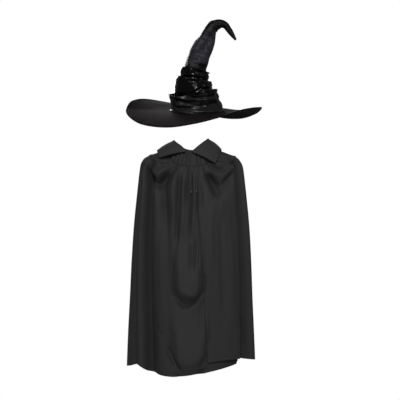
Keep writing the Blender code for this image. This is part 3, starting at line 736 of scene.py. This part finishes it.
# Painted shade: the cloth's colour is darkened where it lies deep in a fold, standing in for the shade there. Its
# other changes of tone, in patches and slubs, are at random.
cape_painted_shade = cape_shade.node("ShaderNodeAttribute", {"attribute_name": "hollow"}, {}, 2)
cape_tone_and_painted_shade = 0.54 + cape_shade * 0.46 - cape_painted_shade * 0.54
cape_finish.colour(cape_finish.blend(cape_tone_and_painted_shade, (0.0090, 0.0090, 0.0092), (0.0345, 0.0343, 0.0345)))
cape_finish.gloss(0.68 + cape_patches * 0.20)
cape_rumples = cape_finish.clouds(42.0, (1.0, 1.0, 0.22), 3.0, 0.55)
cape_finish.relief(cape_weave * 0.012 + cape_rumples * 1.0, 0.0016, 0.5)

thread_finish = Finish("black_thread", 0.45, 0.1)
thread_twist = thread_finish.clouds(3000.0)
thread_finish.colour(thread_finish.blend(thread_twist, (0.008, 0.008, 0.009), (0.022, 0.022, 0.023)))
thread_finish.relief(thread_twist, 0.00005, 0.4)

# The back's seam allowances are turned in behind the fronts.
seam_steps = [-SEAM_ALLOWANCE, -1.2, -0.2, SEAM_HALF_GAP, 0.4, 0.9]
back_angles = [SIDE_SEAM + step for step in seam_steps]
back_angles += spread(SIDE_SEAM + 1.6, 360.0 - SIDE_SEAM - 1.6, 140)
back_angles += [360.0 - SIDE_SEAM - step for step in seam_steps[::-1]]
back_rows = []
for level in panel_levels(130):
    row = []
    for angle in back_angles:
        past_seam = abs(angle - 180.0) - (180.0 - SIDE_SEAM)
        tuck = SEAM_TUCK * smoothstep(-SEAM_HALF_GAP, 0.15, past_seam)
        row.append(cape_point(angle, level, -sewn_in(angle, level) - tuck))
    back_rows.append(row)
# How deep each point lies in the folds, which paints shade into the cloth's colour there.
back_painted_shade = [[painted_shade_share(angle, level, point) for angle, point in zip(back_angles, row)]
                for level, row in zip(panel_levels(130), back_rows)]
cape_back = cloth_piece("cape_back_cloth", back_rows[::-1], CAPE_CLOTH, cape_finish, "cape_cloth", "cape_back",
                        back_painted_shade[::-1])

under_rows = []
under_painted_shade = []
for level in panel_levels(190):
    edge = over_edge(level)
    lap = mix(NECK_LAP_ANGLE, HEM_LAP_ANGLE, share_down(level))
    seen = [-SIDE_SEAM + SEAM_HALF_GAP, -SIDE_SEAM + 0.4, -SIDE_SEAM + 0.9]
    seen += spread(-SIDE_SEAM + 1.6, -46.0, 34)[:-1] + spread(-46.0, edge - 2.5, 86)
    hidden = [edge + lap * share for share in (-0.02, 0.02, 0.08, 0.16, 0.26, 0.4, 0.55, 0.7, 0.85, 1.0)]
    row = []
    for angle in seen + hidden:
        drop = LAP_DROP * smoothstep(edge - 2.6, edge, angle) + LAP_SINK * smoothstep(edge, edge + lap, angle)
        row.append(cape_point(angle, level, -drop - sewn_in(angle, level)))
    under_rows.append(row)
    # The same painted shade in the folds, for the under front.
    under_painted_shade.append([painted_shade_share(angle, level, point) for angle, point in zip(seen + hidden, row)])
cape_under = cloth_piece("cape_front_under_cloth", under_rows[::-1], CAPE_CLOTH, cape_finish, "cape_cloth",
                         "cape_front_under", under_painted_shade[::-1])


def over_front(angle, level, lift=0.0):
    rise = OVER_HEM_RISE * (1.0 - smoothstep(14.0, 84.0, angle))
    edge_roll = 0.0012 * bell((angle - over_edge(level)) / 0.9)
    return cape_point(angle, level, lift - sewn_in(angle, level) - edge_roll, rise)


over_rows = []
over_painted_shade = []
for level in panel_levels(180):
    edge = over_edge(level)
    angles = [edge, edge + 0.25, edge + 0.6, edge + 1.1] + spread(edge + 1.7, 50.0, 52)[:-1]
    angles += spread(50.0, SIDE_SEAM - 1.6, 40) + [SIDE_SEAM - 0.9, SIDE_SEAM - 0.4, SIDE_SEAM - SEAM_HALF_GAP]
    over_rows.append([over_front(angle, level) for angle in angles])
    # The same painted shade in the folds, for the over front.
    over_painted_shade.append([painted_shade_share(angle, level, point) for angle, point in zip(angles, over_rows[-1])])
cape_over = cloth_piece("cape_front_over_cloth", over_rows[::-1], CAPE_CLOTH, cape_finish, "cape_cloth",
                        "cape_front_over", over_painted_shade[::-1])

hem_level = HEM_LEVEL - HEM_WIDTH / 0.120
back_hem = [(cape_point(angle, hem_level, -0.0006), outward(angle, hem_level))
            for angle in spread(SIDE_SEAM + 0.5, 360.0 - SIDE_SEAM - 0.5, 300)]
under_hem = [(cape_point(angle, hem_level, -0.0006), outward(angle, hem_level))
             for angle in spread(-SIDE_SEAM + 0.5, over_edge(hem_level) - 3.0, 240)]
over_hem = [(over_front(angle, hem_level), outward(angle, hem_level))
            for angle in spread(over_edge(hem_level) + 0.6, SIDE_SEAM - 0.5, 200)]
over_side = [(over_front(over_edge(level) + 2.2, level, 0.0001), outward(over_edge(level) + 2.2, level))
             for level in spread(1.08, hem_level, 420)]
for name, line in (("back", back_hem), ("under", under_hem), ("over", over_hem), ("edge", over_side)):
    stitch_line(f"cape_{name}_stitches", line, 0.0028, 0.0008, 0.0006, thread_finish)


# The neck casing. The real one is a strip of the cape's own cloth, folded double over the drawstring and drawn up
# into fine gathers. A row of stitches holds it to the collar above, and another to the cape below.
CASING_CLOTH = 0.0009


def casing_point(angle, level, lift=0.0):
    edge = over_edge(level)
    flat = smoothstep(edge, edge + 6.0, angle) * (1.0 - smoothstep(345.0, 356.0 + edge, angle))
    under = LAP_DROP * smoothstep(356.0 + edge, 360.0 + edge, angle)
    crinkle = 0.0009 * noise.noise(Vector((angle * 0.55, level * 3.0, 5.2)))
    seams = bell((level - 0.93) / 0.030) + bell((level - 0.07) / 0.04)
    turned = 1.0 - smoothstep(0.0, 0.05, 0.994 - level)
    rise = (gather_rise(angle, level) * 1.25 + crinkle) * flat - 0.0014 * seams - 0.0016 * turned
    return cape_point(angle, level, rise - under + lift)


casing_rows = []
for level in spread(0.0, 0.90, 20)[:-1] + spread(0.90, 0.994, 9):
    edge = over_edge(level)
    casing_rows.append([casing_point(angle, level) for angle in spread(edge, 360.0 + edge + NECK_LAP_ANGLE, 460)])
casing = cloth_piece("neck_casing_cloth", casing_rows[::-1], CASING_CLOTH, cape_finish, "cape_cloth", "neck_casing")
casing_seam = [(casing_point(angle, 0.93, 0.0002), outward(angle, 0.93))
               for angle in spread(over_edge(0.93) + 0.5, 357.0, 900)]
casing_stitches = stitch_line("casing_stitches", casing_seam, 0.0024, 0.0007, 0.0006, thread_finish)


# The collar. The real one is two layers of matt black cloth over a stiffener, sewn round the neck. It stands up at
# its seam, turns over, and falls on the shoulders to two pointed leaves, with stitching close to its outer edge.
COLLAR_CLOTH = 0.0022
COLLAR_LIFT = 0.0095
FOLD_WIDTH = 0.0085
FALL_BULGE = 0.004
Collar = namedtuple("Collar", "name neck_angle fold_z edge_angle edge_level")
COLLAR = [
    Collar("left end", -18, -0.001, -62, 1.92),
    Collar("left point", -32, 0.017, -72, 1.86),
    Collar("left front", -56, 0.032, -83, 1.82),
    Collar("left side", -90, 0.045, -98, 1.80),
    Collar("left back", -128, 0.034, -130, 1.85),
    Collar("left of spine", -160, 0.013, -158, 1.95),
    Collar("spine", -192, 0.010, -185, 1.98),
    Collar("right of spine", -220, 0.037, -212, 1.92),
    Collar("right back", -248, 0.049, -240, 1.75),
    Collar("right side", -270, 0.051, -262, 1.55),
    Collar("right front", -292, 0.043, -280, 1.46),
    Collar("right point", -322, 0.029, -297, 1.56),
    Collar("right end", -356, -0.003, -312, 1.74),
]
COLLAR_COLUMNS = 113


def smooth_cape(angle, level, lift):
    """The cape's outer face with its large folds only, which is what the stiff collar lies on."""
    point = level_point(angle, level)
    rise = fold_rise(angle, share_down(level)) + swag_rise(point) + pouch_rise(point)
    rise *= smoothstep(CASING_LEVEL - 0.2, CASING_LEVEL + 0.4, level)
    return point + outward(angle, level) * (rise + lift)


collar_columns = []
for place in spread(0.0, len(COLLAR) - 1, COLLAR_COLUMNS):
    row = spline(COLLAR, place)
    seam = level_point(row.neck_angle, 0.0)
    out = Vector((seam.x, seam.y, 0.0)).normalized()
    foot = seam + Vector((0.0, 0.0, 0.0026))
    top = Vector((seam.x, seam.y, row.fold_z)) + out * FOLD_WIDTH * 0.45
    inner = mix(foot, top, 0.72) - out * FOLD_WIDTH * 0.12
    outer = top + out * FOLD_WIDTH * 0.75 - Vector((0.0, 0.0, 0.005))
    edge = smooth_cape(row.edge_angle, row.edge_level, COLLAR_LIFT)
    up = Vector((out.x, out.y, 1.0)).normalized()
    profile = [mix(outer, edge, share) + up * 4.0 * FALL_BULGE * share * (1.0 - share) for share in (1.0, 0.66, 0.33)]
    profile += [outer, top, inner, foot]
    steps = spread(0.0, 0.20, 4)[:-1] + spread(0.20, 6.0, 26)
    profile = [Point(*point) for point in profile]
    column = [Vector(spline(profile, step)) for step in steps]
    collar_columns.append(column)
collar_rows = [list(row) for row in zip(*collar_columns[::-1])]

collar_finish = Finish("stiffened_black_cloth", 0.80, 0.10)
collar_weave = collar_finish.threads(collar_finish.across, 0.0009) + collar_finish.threads(collar_finish.along, 0.0009)
collar_fuzz = collar_finish.clouds(900.0, detail=2.0)
collar_patches = collar_finish.clouds(30.0, detail=4.0)
collar_finish.colour(collar_finish.blend(collar_patches * 0.6 + collar_fuzz * 0.4, (0.029, 0.029, 0.030),
                                         (0.043, 0.043, 0.043)))
collar_finish.gloss(0.72 + collar_patches * 0.16)
collar_finish.relief(collar_fuzz + collar_weave * 0.2, 0.0003, 0.6)
collar = cloth_piece("collar_cloth", collar_rows, COLLAR_CLOTH, collar_finish, "collar_felt", "collar")


def collar_face(place, share):
    """A point of the fallen leaf, a share of the way in from its outer edge, and which way it faces."""
    column = min(COLLAR_COLUMNS - 1, max(0, round(place)))
    row = share * 10.0
    index = int(row)
    spots = collar_columns[column]
    spot = mix(spots[index], spots[index + 1], row - index)
    beside = collar_columns[min(COLLAR_COLUMNS - 1, column + 1)][index] - collar_columns[max(0, column - 1)][index]
    facing = (spots[index + 1] - spots[index]).cross(beside).normalized()
    return spot, facing if facing.z > 0.0 else -facing


collar_edge = [collar_face(place, 0.42) for place in spread(1.0, COLLAR_COLUMNS - 2.0, COLLAR_COLUMNS - 2)]
collar_stitches = stitch_line("collar_stitches", collar_edge, 0.0028, 0.0008, 0.0006, thread_finish)


# The hat's brim. The real one is two layers of napped black cloth over a stiffener, cut as a ring. It dips at the
# front, curls up at both sides, and its edge is bound with a narrow tape held by two rows of stitches.
BRIM_CLOTH = 0.0026
HEAD_RADIUS = 0.0935
BRIM_RADIUS = 0.270
BRIM_SHIFT = -0.012
BRIM_CURL = 1.7
BRIM_SEAT = 0.10
BINDING = 0.0046
HAT_PITCH = math.radians(15.0)
CROWN_SEAT = 0.0030
FOOT_GAP = 0.0012

Rim = namedtuple("Rim", "angle z")
RIM = [
    Rim(-180, 0.200), Rim(-155, 0.225), Rim(-130, 0.232), Rim(-108, 0.211), Rim(-90, 0.169), Rim(-68, 0.128),
    Rim(-45, 0.089), Rim(-22, 0.073), Rim(0, 0.085), Rim(22, 0.112), Rim(45, 0.146), Rim(70, 0.165),
    Rim(90, 0.172), Rim(112, 0.160), Rim(135, 0.149), Rim(158, 0.163), Rim(180, 0.200),
]

# The crown's middle line and radius, from the head opening up to the bend and down to the tip.
Ring = namedtuple("Ring", "name x y z radius")
CROWN = [
    Ring("head opening", 0.0240, 0.000, 0.162, HEAD_RADIUS + CROWN_SEAT),
    Ring("sash", 0.0131, -0.015, 0.214, 0.0780),
    Ring("middle drape", 0.0092, -0.026, 0.260, 0.0610),
    Ring("upper drape", 0.0142, -0.033, 0.299, 0.0470),
    Ring("neck", 0.0202, -0.036, 0.330, 0.0435),
    Ring("lean", 0.0320, -0.037, 0.373, 0.0415),
    Ring("swell", 0.0459, -0.037, 0.405, 0.0390),
    Ring("narrowing", 0.0597, -0.036, 0.433, 0.0335),
    Ring("under the bend", 0.0716, -0.035, 0.461, 0.0285),
    Ring("bend", 0.0874, -0.034, 0.487, 0.0250),
    Ring("top", 0.1112, -0.033, 0.499, 0.0196),
    Ring("over the bend", 0.1350, -0.031, 0.497, 0.0143),
    Ring("falling", 0.1509, -0.029, 0.478, 0.0122),
    Ring("near the tip", 0.1649, -0.028, 0.458, 0.0087),
    Ring("tip", 0.1768, -0.027, 0.4406, 0.0050),
]
TIP = len(CROWN) - 1


def crown_place(place):
    row = spline(CROWN, place)
    return Vector((row.x, row.y, row.z))


def crown_ring_point(place, angle, radius):
    """A point round the crown's middle line, with 0 at the front as on the cape."""
    low, high = max(0.0, place - 0.05), min(TIP, place + 0.05)
    along = (crown_place(high) - crown_place(low)).normalized()
    if place < 1.0:
        pitched = Vector((0.0, -math.sin(HAT_PITCH), math.cos(HAT_PITCH)))
        along = mix(pitched, along, smoothstep(0.0, 1.0, place)).normalized()
    back = (Vector((0.0, 1.0, 0.0)) - along * along.y).normalized()
    right = back.cross(along)
    turn = math.radians(angle)
    return crown_place(place) + (right * math.sin(turn) - back * math.cos(turn)) * radius


def brim_point(angle, share):
    """A point of the brim's upper face, from the head opening at 0 to the edge at 1."""
    turn = math.radians(angle)
    middle = crown_place(0.0)
    inner = crown_ring_point(0.0, angle, HEAD_RADIUS)
    edge = Vector((middle.x + BRIM_SHIFT + BRIM_RADIUS * math.sin(turn), -BRIM_RADIUS * math.cos(turn), 0.0))
    edge.z = middle.z + edge.y * math.tan(HAT_PITCH)
    lift = row_at(RIM, angle_apart(angle, 0.0)).z - edge.z
    curl = max(0.0, (share - BRIM_SEAT) / (1.0 - BRIM_SEAT)) ** BRIM_CURL
    point = mix(inner, edge, share) + Vector((0.0, 0.0, lift * curl))
    wave = noise.noise(Vector((math.sin(turn) * 1.6, math.cos(turn) * 1.6, share * 1.4)))
    point.z += 0.0022 * wave * smoothstep(0.25, 0.7, share)
    return point


def on_brim(angle, out):
    """A point just above the brim's flat seat, this far out from the head opening."""
    up = Vector((0.0, -math.sin(HAT_PITCH), math.cos(HAT_PITCH)))
    return crown_ring_point(0.0, angle, HEAD_RADIUS + out) + up * FOOT_GAP


def brim_facing(angle, share):
    around = brim_point(angle + 1.0, share) - brim_point(angle - 1.0, share)
    outwards = brim_point(angle, min(1.0, share + 0.02)) - brim_point(angle, share - 0.02)
    facing = outwards.cross(around).normalized()
    return facing if facing.z > 0.0 else -facing


brim_finish = Finish("napped_black_cloth", 0.80, 0.0)
brim_finish.shader.inputs["Specular IOR Level"].default_value = 0.10
brim_nap = brim_finish.clouds(620.0, detail=3.0)
brim_patches = brim_finish.clouds(24.0, detail=5.0, roughness=0.65)
brim_share = (brim_patches - 0.5) * 2.2 + (brim_nap - 0.5) * 2.0 + 0.55
brim_finish.colour(brim_finish.blend(brim_share, (0.0140, 0.0066, 0.0084),
                                     (0.0285, 0.0240, 0.0248)))
brim_finish.gloss(0.64 + brim_patches * 0.20)
brim_finish.relief(brim_nap + brim_finish.clouds(1500.0) * 0.5, 0.00035, 0.6)

brim_shares = [1.0, 0.985, 0.97, 0.962, 0.955, 0.948, 0.94] + spread(0.92, BRIM_SEAT, 22) + [0.05, 0.0]
brim_angles = spread(-180.0, 180.0, 181)
brim_rows = []
for share in brim_shares:
    dent = 0.0012 * bell((share - 0.955) / 0.012)
    brim_rows.append([brim_point(angle, share) - Vector((0.0, 0.0, dent)) for angle in brim_angles])
brim = cloth_piece("hat_brim_cloth", brim_rows, BRIM_CLOTH, brim_finish, "brim_felt", "hat_brim")

# Its binding tape, folded round the edge from the upper face to the lower one.
binding_rows = []
for turn in spread(0.0, 2.0 * math.pi, 13):
    row = []
    for angle in brim_angles:
        up = brim_facing(angle, 0.985)
        out = (brim_point(angle, 1.0) - brim_point(angle, 0.96)).normalized()
        middle = brim_point(angle, 1.0) - up * BRIM_CLOTH / 2 - out * 0.0022
        row.append(middle + up * math.cos(turn) * 0.0020 - out * math.sin(turn) * BINDING * 0.8)
    binding_rows.append(row)
binding_form = grid_form(binding_rows)
bmesh.ops.recalc_face_normals(binding_form, faces=binding_form.faces)
binding_finish = Finish("black_binding_tape", 0.70, 0.0)
binding_finish.shader.inputs["Specular IOR Level"].default_value = 0.10
binding_ribs = binding_finish.threads(binding_finish.across, 0.0009)
binding_wear = binding_finish.clouds(120.0)
binding_finish.colour(binding_finish.blend(binding_wear, (0.004, 0.0038, 0.004), (0.009, 0.0086, 0.009)))
binding_finish.relief(binding_ribs, 0.0002, 0.6)
binding = show("hat_brim_binding", binding_form, binding_finish, "brim_felt")

for index, share in enumerate((0.955, 0.90)):
    seam = [(brim_point(angle, share) + brim_facing(angle, share) * 0.0001, brim_facing(angle, share))
            for angle in spread(-179.5, 179.5, 500)]
    stitch_line(f"brim_stitches_{index}", seam, 0.0030, 0.0010, 0.0007, thread_finish)


# The hat's crown. The real one is black satin with a faint blue cast, cut as a tall cone and sewn up the back. It is
# limp, so it leans, bends over near its point, and is crumpled all over. Its foot is sewn to the brim's seat.
CROWN_CLOTH = 0.0010
Crumple = namedtuple("Crumple", "name place angle half_rows half_angle turn rise")
CRUMPLES = [
    Crumple("long dent", 6.0, 20, 1.5, 24, 6, -0.0075),
    Crumple("lit ridge", 5.6, -30, 1.6, 18, -4, 0.0034),
    Crumple("lower fold", 4.5, 10, 0.30, 70, 0, 0.0045),
    Crumple("hooked fold", 4.9, -50, 0.28, 45, 0, -0.0045),
    Crumple("neck dent", 4.1, 60, 0.45, 36, 0, -0.0030),
    Crumple("left dent", 7.2, -70, 0.5, 30, 0, -0.0016),
    Crumple("right ridge", 7.0, 75, 0.8, 24, 0, 0.0040),
    Crumple("bend crease", 8.6, 95, 0.40, 60, 0, -0.0040),
    Crumple("second crease", 9.5, 60, 0.36, 50, 0, -0.0026),
    Crumple("third crease", 10.4, 100, 0.34, 50, 0, -0.0022),
    Crumple("top ridge", 9.9, -60, 0.9, 30, 0, 0.0020),
    Crumple("back dent", 6.5, 170, 1.2, 30, -5, -0.0070),
    Crumple("back fold", 4.8, -150, 0.35, 50, 0, 0.0040),
    Crumple("falling crease", 11.8, -40, 0.40, 60, 0, -0.0022),
]

# Its smaller sharp creases, as the front shows them.
SMALL_CRUMPLES = [
    Crumple("hook's bright lip", 4.75, -12, 0.10, 26, 0, 0.0028),
    Crumple("hook's hollow", 4.45, -6, 0.13, 22, 0, -0.0030),
    Crumple("hook's end", 4.35, 14, 0.34, 7, 0, 0.0026),
    Crumple("dark pleat", 4.1, 38, 0.12, 30, 0, -0.0030),
    Crumple("lower pleat", 3.8, 20, 0.10, 50, 0, 0.0026),
    Crumple("left soft face", 4.0, -46, 0.5, 16, 0, 0.0022),
    Crumple("long bright line", 5.9, -8, 1.0, 6, 9, 0.0022),
    Crumple("slanting line", 6.3, 22, 0.7, 6, -22, 0.0018),
    Crumple("crossing line", 5.4, 28, 0.10, 30, 0, 0.0020),
    Crumple("upper crossing", 6.9, 0, 0.10, 40, 0, -0.0018),
    Crumple("pinch", 7.6, 20, 0.12, 50, 0, -0.0022),
    Crumple("pinch ridge", 7.9, 10, 0.10, 40, 0, 0.0016),
    Crumple("wrinkle at the bend", 8.9, 20, 0.09, 50, 0, -0.0018),
    Crumple("second wrinkle", 9.25, 30, 0.08, 60, 0, 0.0016),
    Crumple("third wrinkle", 10.0, 0, 0.09, 60, 0, -0.0015),
    Crumple("fourth wrinkle", 10.9, 20, 0.09, 60, 0, -0.0013),
    Crumple("falling wrinkle", 12.3, 0, 0.10, 60, 0, -0.0010),
]


def crown_radius(place, angle, rows=CRUMPLES):
    radius = spline(CROWN, place).radius
    for row in rows:
        near = bell((place - row.place) / row.half_rows)
        if near:
            off = angle_apart(angle, row.angle + row.turn * (place - row.place)) / row.half_angle
            radius += row.rise * near * bell(off)
    return radius


def crumple(point, scale, seed):
    """Sharp ridges between soft hollows, from 0 to 1, as in satin that was packed flat."""
    spot = point / scale + Vector((seed, 0.0, 0.0))
    bent = spot + Vector((noise.noise(spot * 0.7), noise.noise(spot * 0.7 + Vector((5.0, 2.0, 8.0))), 0.0)) * 0.6
    return 1.0 - min(1.0, abs(noise.noise(bent)) * 2.6)


def crown_point(place, angle):
    radius = crown_radius(place, angle, CRUMPLES + SMALL_CRUMPLES)
    spot = crown_ring_point(place, angle, radius)
    slim = min(1.0, radius / 0.040)
    limp = smoothstep(3.3, 4.2, place)
    radius += (0.0034 * (crumple(spot, 0.070, 2.0) - 0.5) + 0.0010 * (crumple(spot, 0.030, 6.0) - 0.5)) * slim * limp
    return crown_ring_point(place, angle, radius)


crown_angles = spread(-180.0, 180.0, 129)
crown_rows = [[on_brim(angle, CROWN_SEAT) for angle in crown_angles]]
for place in spread(1.0, 3.3, 12)[:-1] + spread(3.3, TIP, 210):
    crown_rows.append([crown_point(place, angle) for angle in crown_angles])
tip_end = crown_place(TIP)
tip_end += (tip_end - crown_place(TIP - 0.2)).normalized() * 0.003
for share in (0.55, 0.85):
    ring = [crown_ring_point(TIP, angle, 0.005 * (1.0 - share * share) ** 0.5) for angle in crown_angles]
    crown_rows.append([point + (tip_end - crown_place(TIP)) * share for point in ring])
crown_rows.append([tip_end for angle in crown_angles])

crown_finish = Finish("crumpled_black_satin", 0.34, 0.0)
crown_finish.shader.inputs["Specular IOR Level"].default_value = 0.32
crown_floats = crown_finish.threads(crown_finish.across, 0.0005)
crown_patches = crown_finish.clouds(34.0, (1.0, 1.0, 0.7), 4.0)
# Painted light: the blue tint is the satin's own, but it is painted brightest in a band round the middle of the cone,
# at a height of about 0.395, and near black above and below that band, standing in for the light on that part of the
# cone.
crown_height = crown_finish.place.node("ShaderNodeSeparateXYZ", {}, {"Vector": crown_finish.place}, 2)
crown_light_band_off = (crown_height - 0.395) * 13.0
crown_painted_light = 1.0 - crown_light_band_off * crown_light_band_off
crown_finish.colour(crown_finish.blend(crown_painted_light * 0.8 + (crown_patches - 0.5) * 2.0, (0.0040, 0.0038, 0.0056),
                                       (0.0500, 0.0480, 0.0670)))
crown_finish.gloss(0.34 + crown_patches * 0.18)
crown_creases = crown_finish.clouds(48.0, (1.0, 1.0, 0.6), 3.0, 0.5)
crown_finish.relief(crown_creases + crown_floats * 0.02, 0.0034, 0.65)
crown = cloth_piece("hat_crown_satin", crown_rows, CROWN_CLOTH, crown_finish, "crown_satin", "hat_crown")


# The three drapes round the crown. The real ones are bands of glossy black satin, each wound round in loose slanting
# folds and tacked to the crown. Their upper edges stand off in a ruffle, and the widest spreads onto the brim.
DRAPE_CLOTH = 0.0010
Drape = namedtuple("Drape", "name low high foot_out mid_radius high_radius "
                   "folds slant depth ruffle waves shift crumple")
DRAPES = [
    Drape("hat_sash", 0.05, 1.36, 0.0110, 0.0955, 0.0925, 2.4, 1.9, 0.0042, 0.0085, 7, 0.4, 0.0058),
    Drape("hat_middle_drape", 1.27, 2.62, 0.0023, 0.0765, 0.0700, 1.5, 1.5, 0.0036, 0.0075, 6, 2.2, 0.0028),
    Drape("hat_upper_drape", 2.52, 3.66, 0.0023, 0.0580, 0.0535, 1.3, 1.3, 0.0026, 0.0055, 5, 4.1, 0.0022),
]

# The satin's own folds, seen from the front: where each starts and ends as an angle and a share of the way up its
# band, its half width as a share, and how far it stands out.
Pleat = namedtuple("Pleat", "band angle1 up1 angle2 up2 half_width rise")
PLEATS = [
    Pleat("hat_sash", -80, 0.30, 60, 0.12, 0.10, 0.0040),
    Pleat("hat_sash", -60, 0.62, 10, 0.46, 0.09, 0.0040),
    Pleat("hat_sash", -20, 0.80, 60, 0.58, 0.07, 0.0034),
    Pleat("hat_sash", -50, 0.46, 0, 0.30, 0.06, -0.0034),
    Pleat("hat_sash", 10, 0.42, 80, 0.34, 0.08, -0.0030),
    Pleat("hat_middle_drape", -20, 0.10, 34, 0.70, 0.06, 0.0032),
    Pleat("hat_middle_drape", 0, 0.05, 48, 0.62, 0.05, 0.0028),
    Pleat("hat_middle_drape", -50, 0.66, 20, 0.80, 0.05, 0.0026),
    Pleat("hat_upper_drape", -70, 0.20, 30, 0.52, 0.08, 0.0026),
    Pleat("hat_upper_drape", -40, 0.10, 60, 0.30, 0.06, -0.0022),
]


def drape_point(row, share, angle):
    turn = math.radians(angle)
    lean = row.slant * math.sin(turn + row.shift) + 0.7 * math.sin(2.0 * turn + 2.0 * row.shift)
    ridge = 1.5 * abs(math.cos(math.pi * row.folds * share + lean)) - 1.0
    low_radius = crown_radius(row.low, angle) + row.foot_out
    radius = mix(low_radius, row.mid_radius, smoothstep(0.0, 0.5, share))
    radius = mix(radius, row.high_radius, max(0.0, 2.0 * share - 1.0))
    radius += row.depth * 0.55 * ridge * smoothstep(0.0, 0.2, share)
    wave = 0.45 + 0.55 * math.sin(row.waves * turn + 3.0 * row.shift + 0.8 * math.sin(2.0 * turn))
    radius += row.ruffle * wave * smoothstep(0.72, 1.0, share)
    for pleat in PLEATS:
        if pleat.band == row.name and pleat.angle1 < angle < pleat.angle2:
            along = (angle - pleat.angle1) / (pleat.angle2 - pleat.angle1)
            line = mix(pleat.up1, pleat.up2, along)
            radius += pleat.rise * math.sin(math.pi * along) * bell((share - line) / pleat.half_width)
    place = mix(row.low, row.high, share)
    spot = crown_ring_point(place, angle, radius)
    fine = row.crumple * (crumple(spot, 0.062, row.shift) - 0.5 + 0.22 * crumple(spot, 0.026, row.shift + 3.0) - 0.11)
    radius += fine * smoothstep(0.05, 0.25, share) + 0.0008 * bell((share - 1.0) / 0.03)
    return crown_ring_point(place, angle, radius)


# The sash is the same satin worn dull, so its highlights are wide and soft. The two upper bands shine in thin lines.
sash_finish = Finish("soft_black_satin", 0.36, 0.0)
sash_patches = sash_finish.clouds(26.0, detail=3.0)
sash_finish.colour(sash_finish.blend(sash_patches, (0.0060, 0.0052, 0.0054), (0.0200, 0.0178, 0.0182)))
sash_finish.gloss(0.26 + sash_patches * 0.16)
sash_finish.relief(sash_finish.clouds(55.0, (1.0, 1.0, 2.0), 3.0, 0.5), 0.0010, 0.3)

band_finish = Finish("glossy_black_satin", 0.16, 0.0)
band_finish.shader.inputs["Specular IOR Level"].default_value = 0.30
band_patches = band_finish.clouds(30.0, detail=3.0)
band_finish.colour(band_finish.blend(band_patches, (0.0014, 0.0013, 0.0017), (0.0038, 0.0036, 0.0042)))
band_finish.gloss(0.12 + band_patches * 0.10)
band_finish.relief(band_finish.clouds(80.0, (1.0, 1.0, 2.2), 3.0, 0.5), 0.0006, 0.25)

drape_angles = spread(-180.0, 180.0, 217)
for row in DRAPES:
    rows = [[drape_point(row, share, angle) for angle in drape_angles] for share in spread(0.0, 1.0, 58)]
    if row.name == "hat_sash":
        rows[0] = [on_brim(angle, CROWN_SEAT + row.foot_out) for angle in drape_angles]
    satin = sash_finish if row.name == "hat_sash" else band_finish
    band = cloth_piece(f"{row.name}_satin", rows, DRAPE_CLOTH, satin, "drape_satin", row.name)

# The paired lamps each light their own pieces, and only those pieces shade them.
lit = {group: bpy.data.collections.new(f"{group}_pieces") for group in ("hat", "cape", "floor")}
lit["floor"].objects.link(floor)
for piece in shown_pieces():
    lit["hat" if piece.name.startswith(("hat_", "brim_")) else "cape"].objects.link(piece)
for row in LAMPS:
    if row.lights:
        lamps[row.name].light_linking.receiver_collection = lit[row.lights]
        lamps[row.name].light_linking.blocker_collection = lit[row.lights]
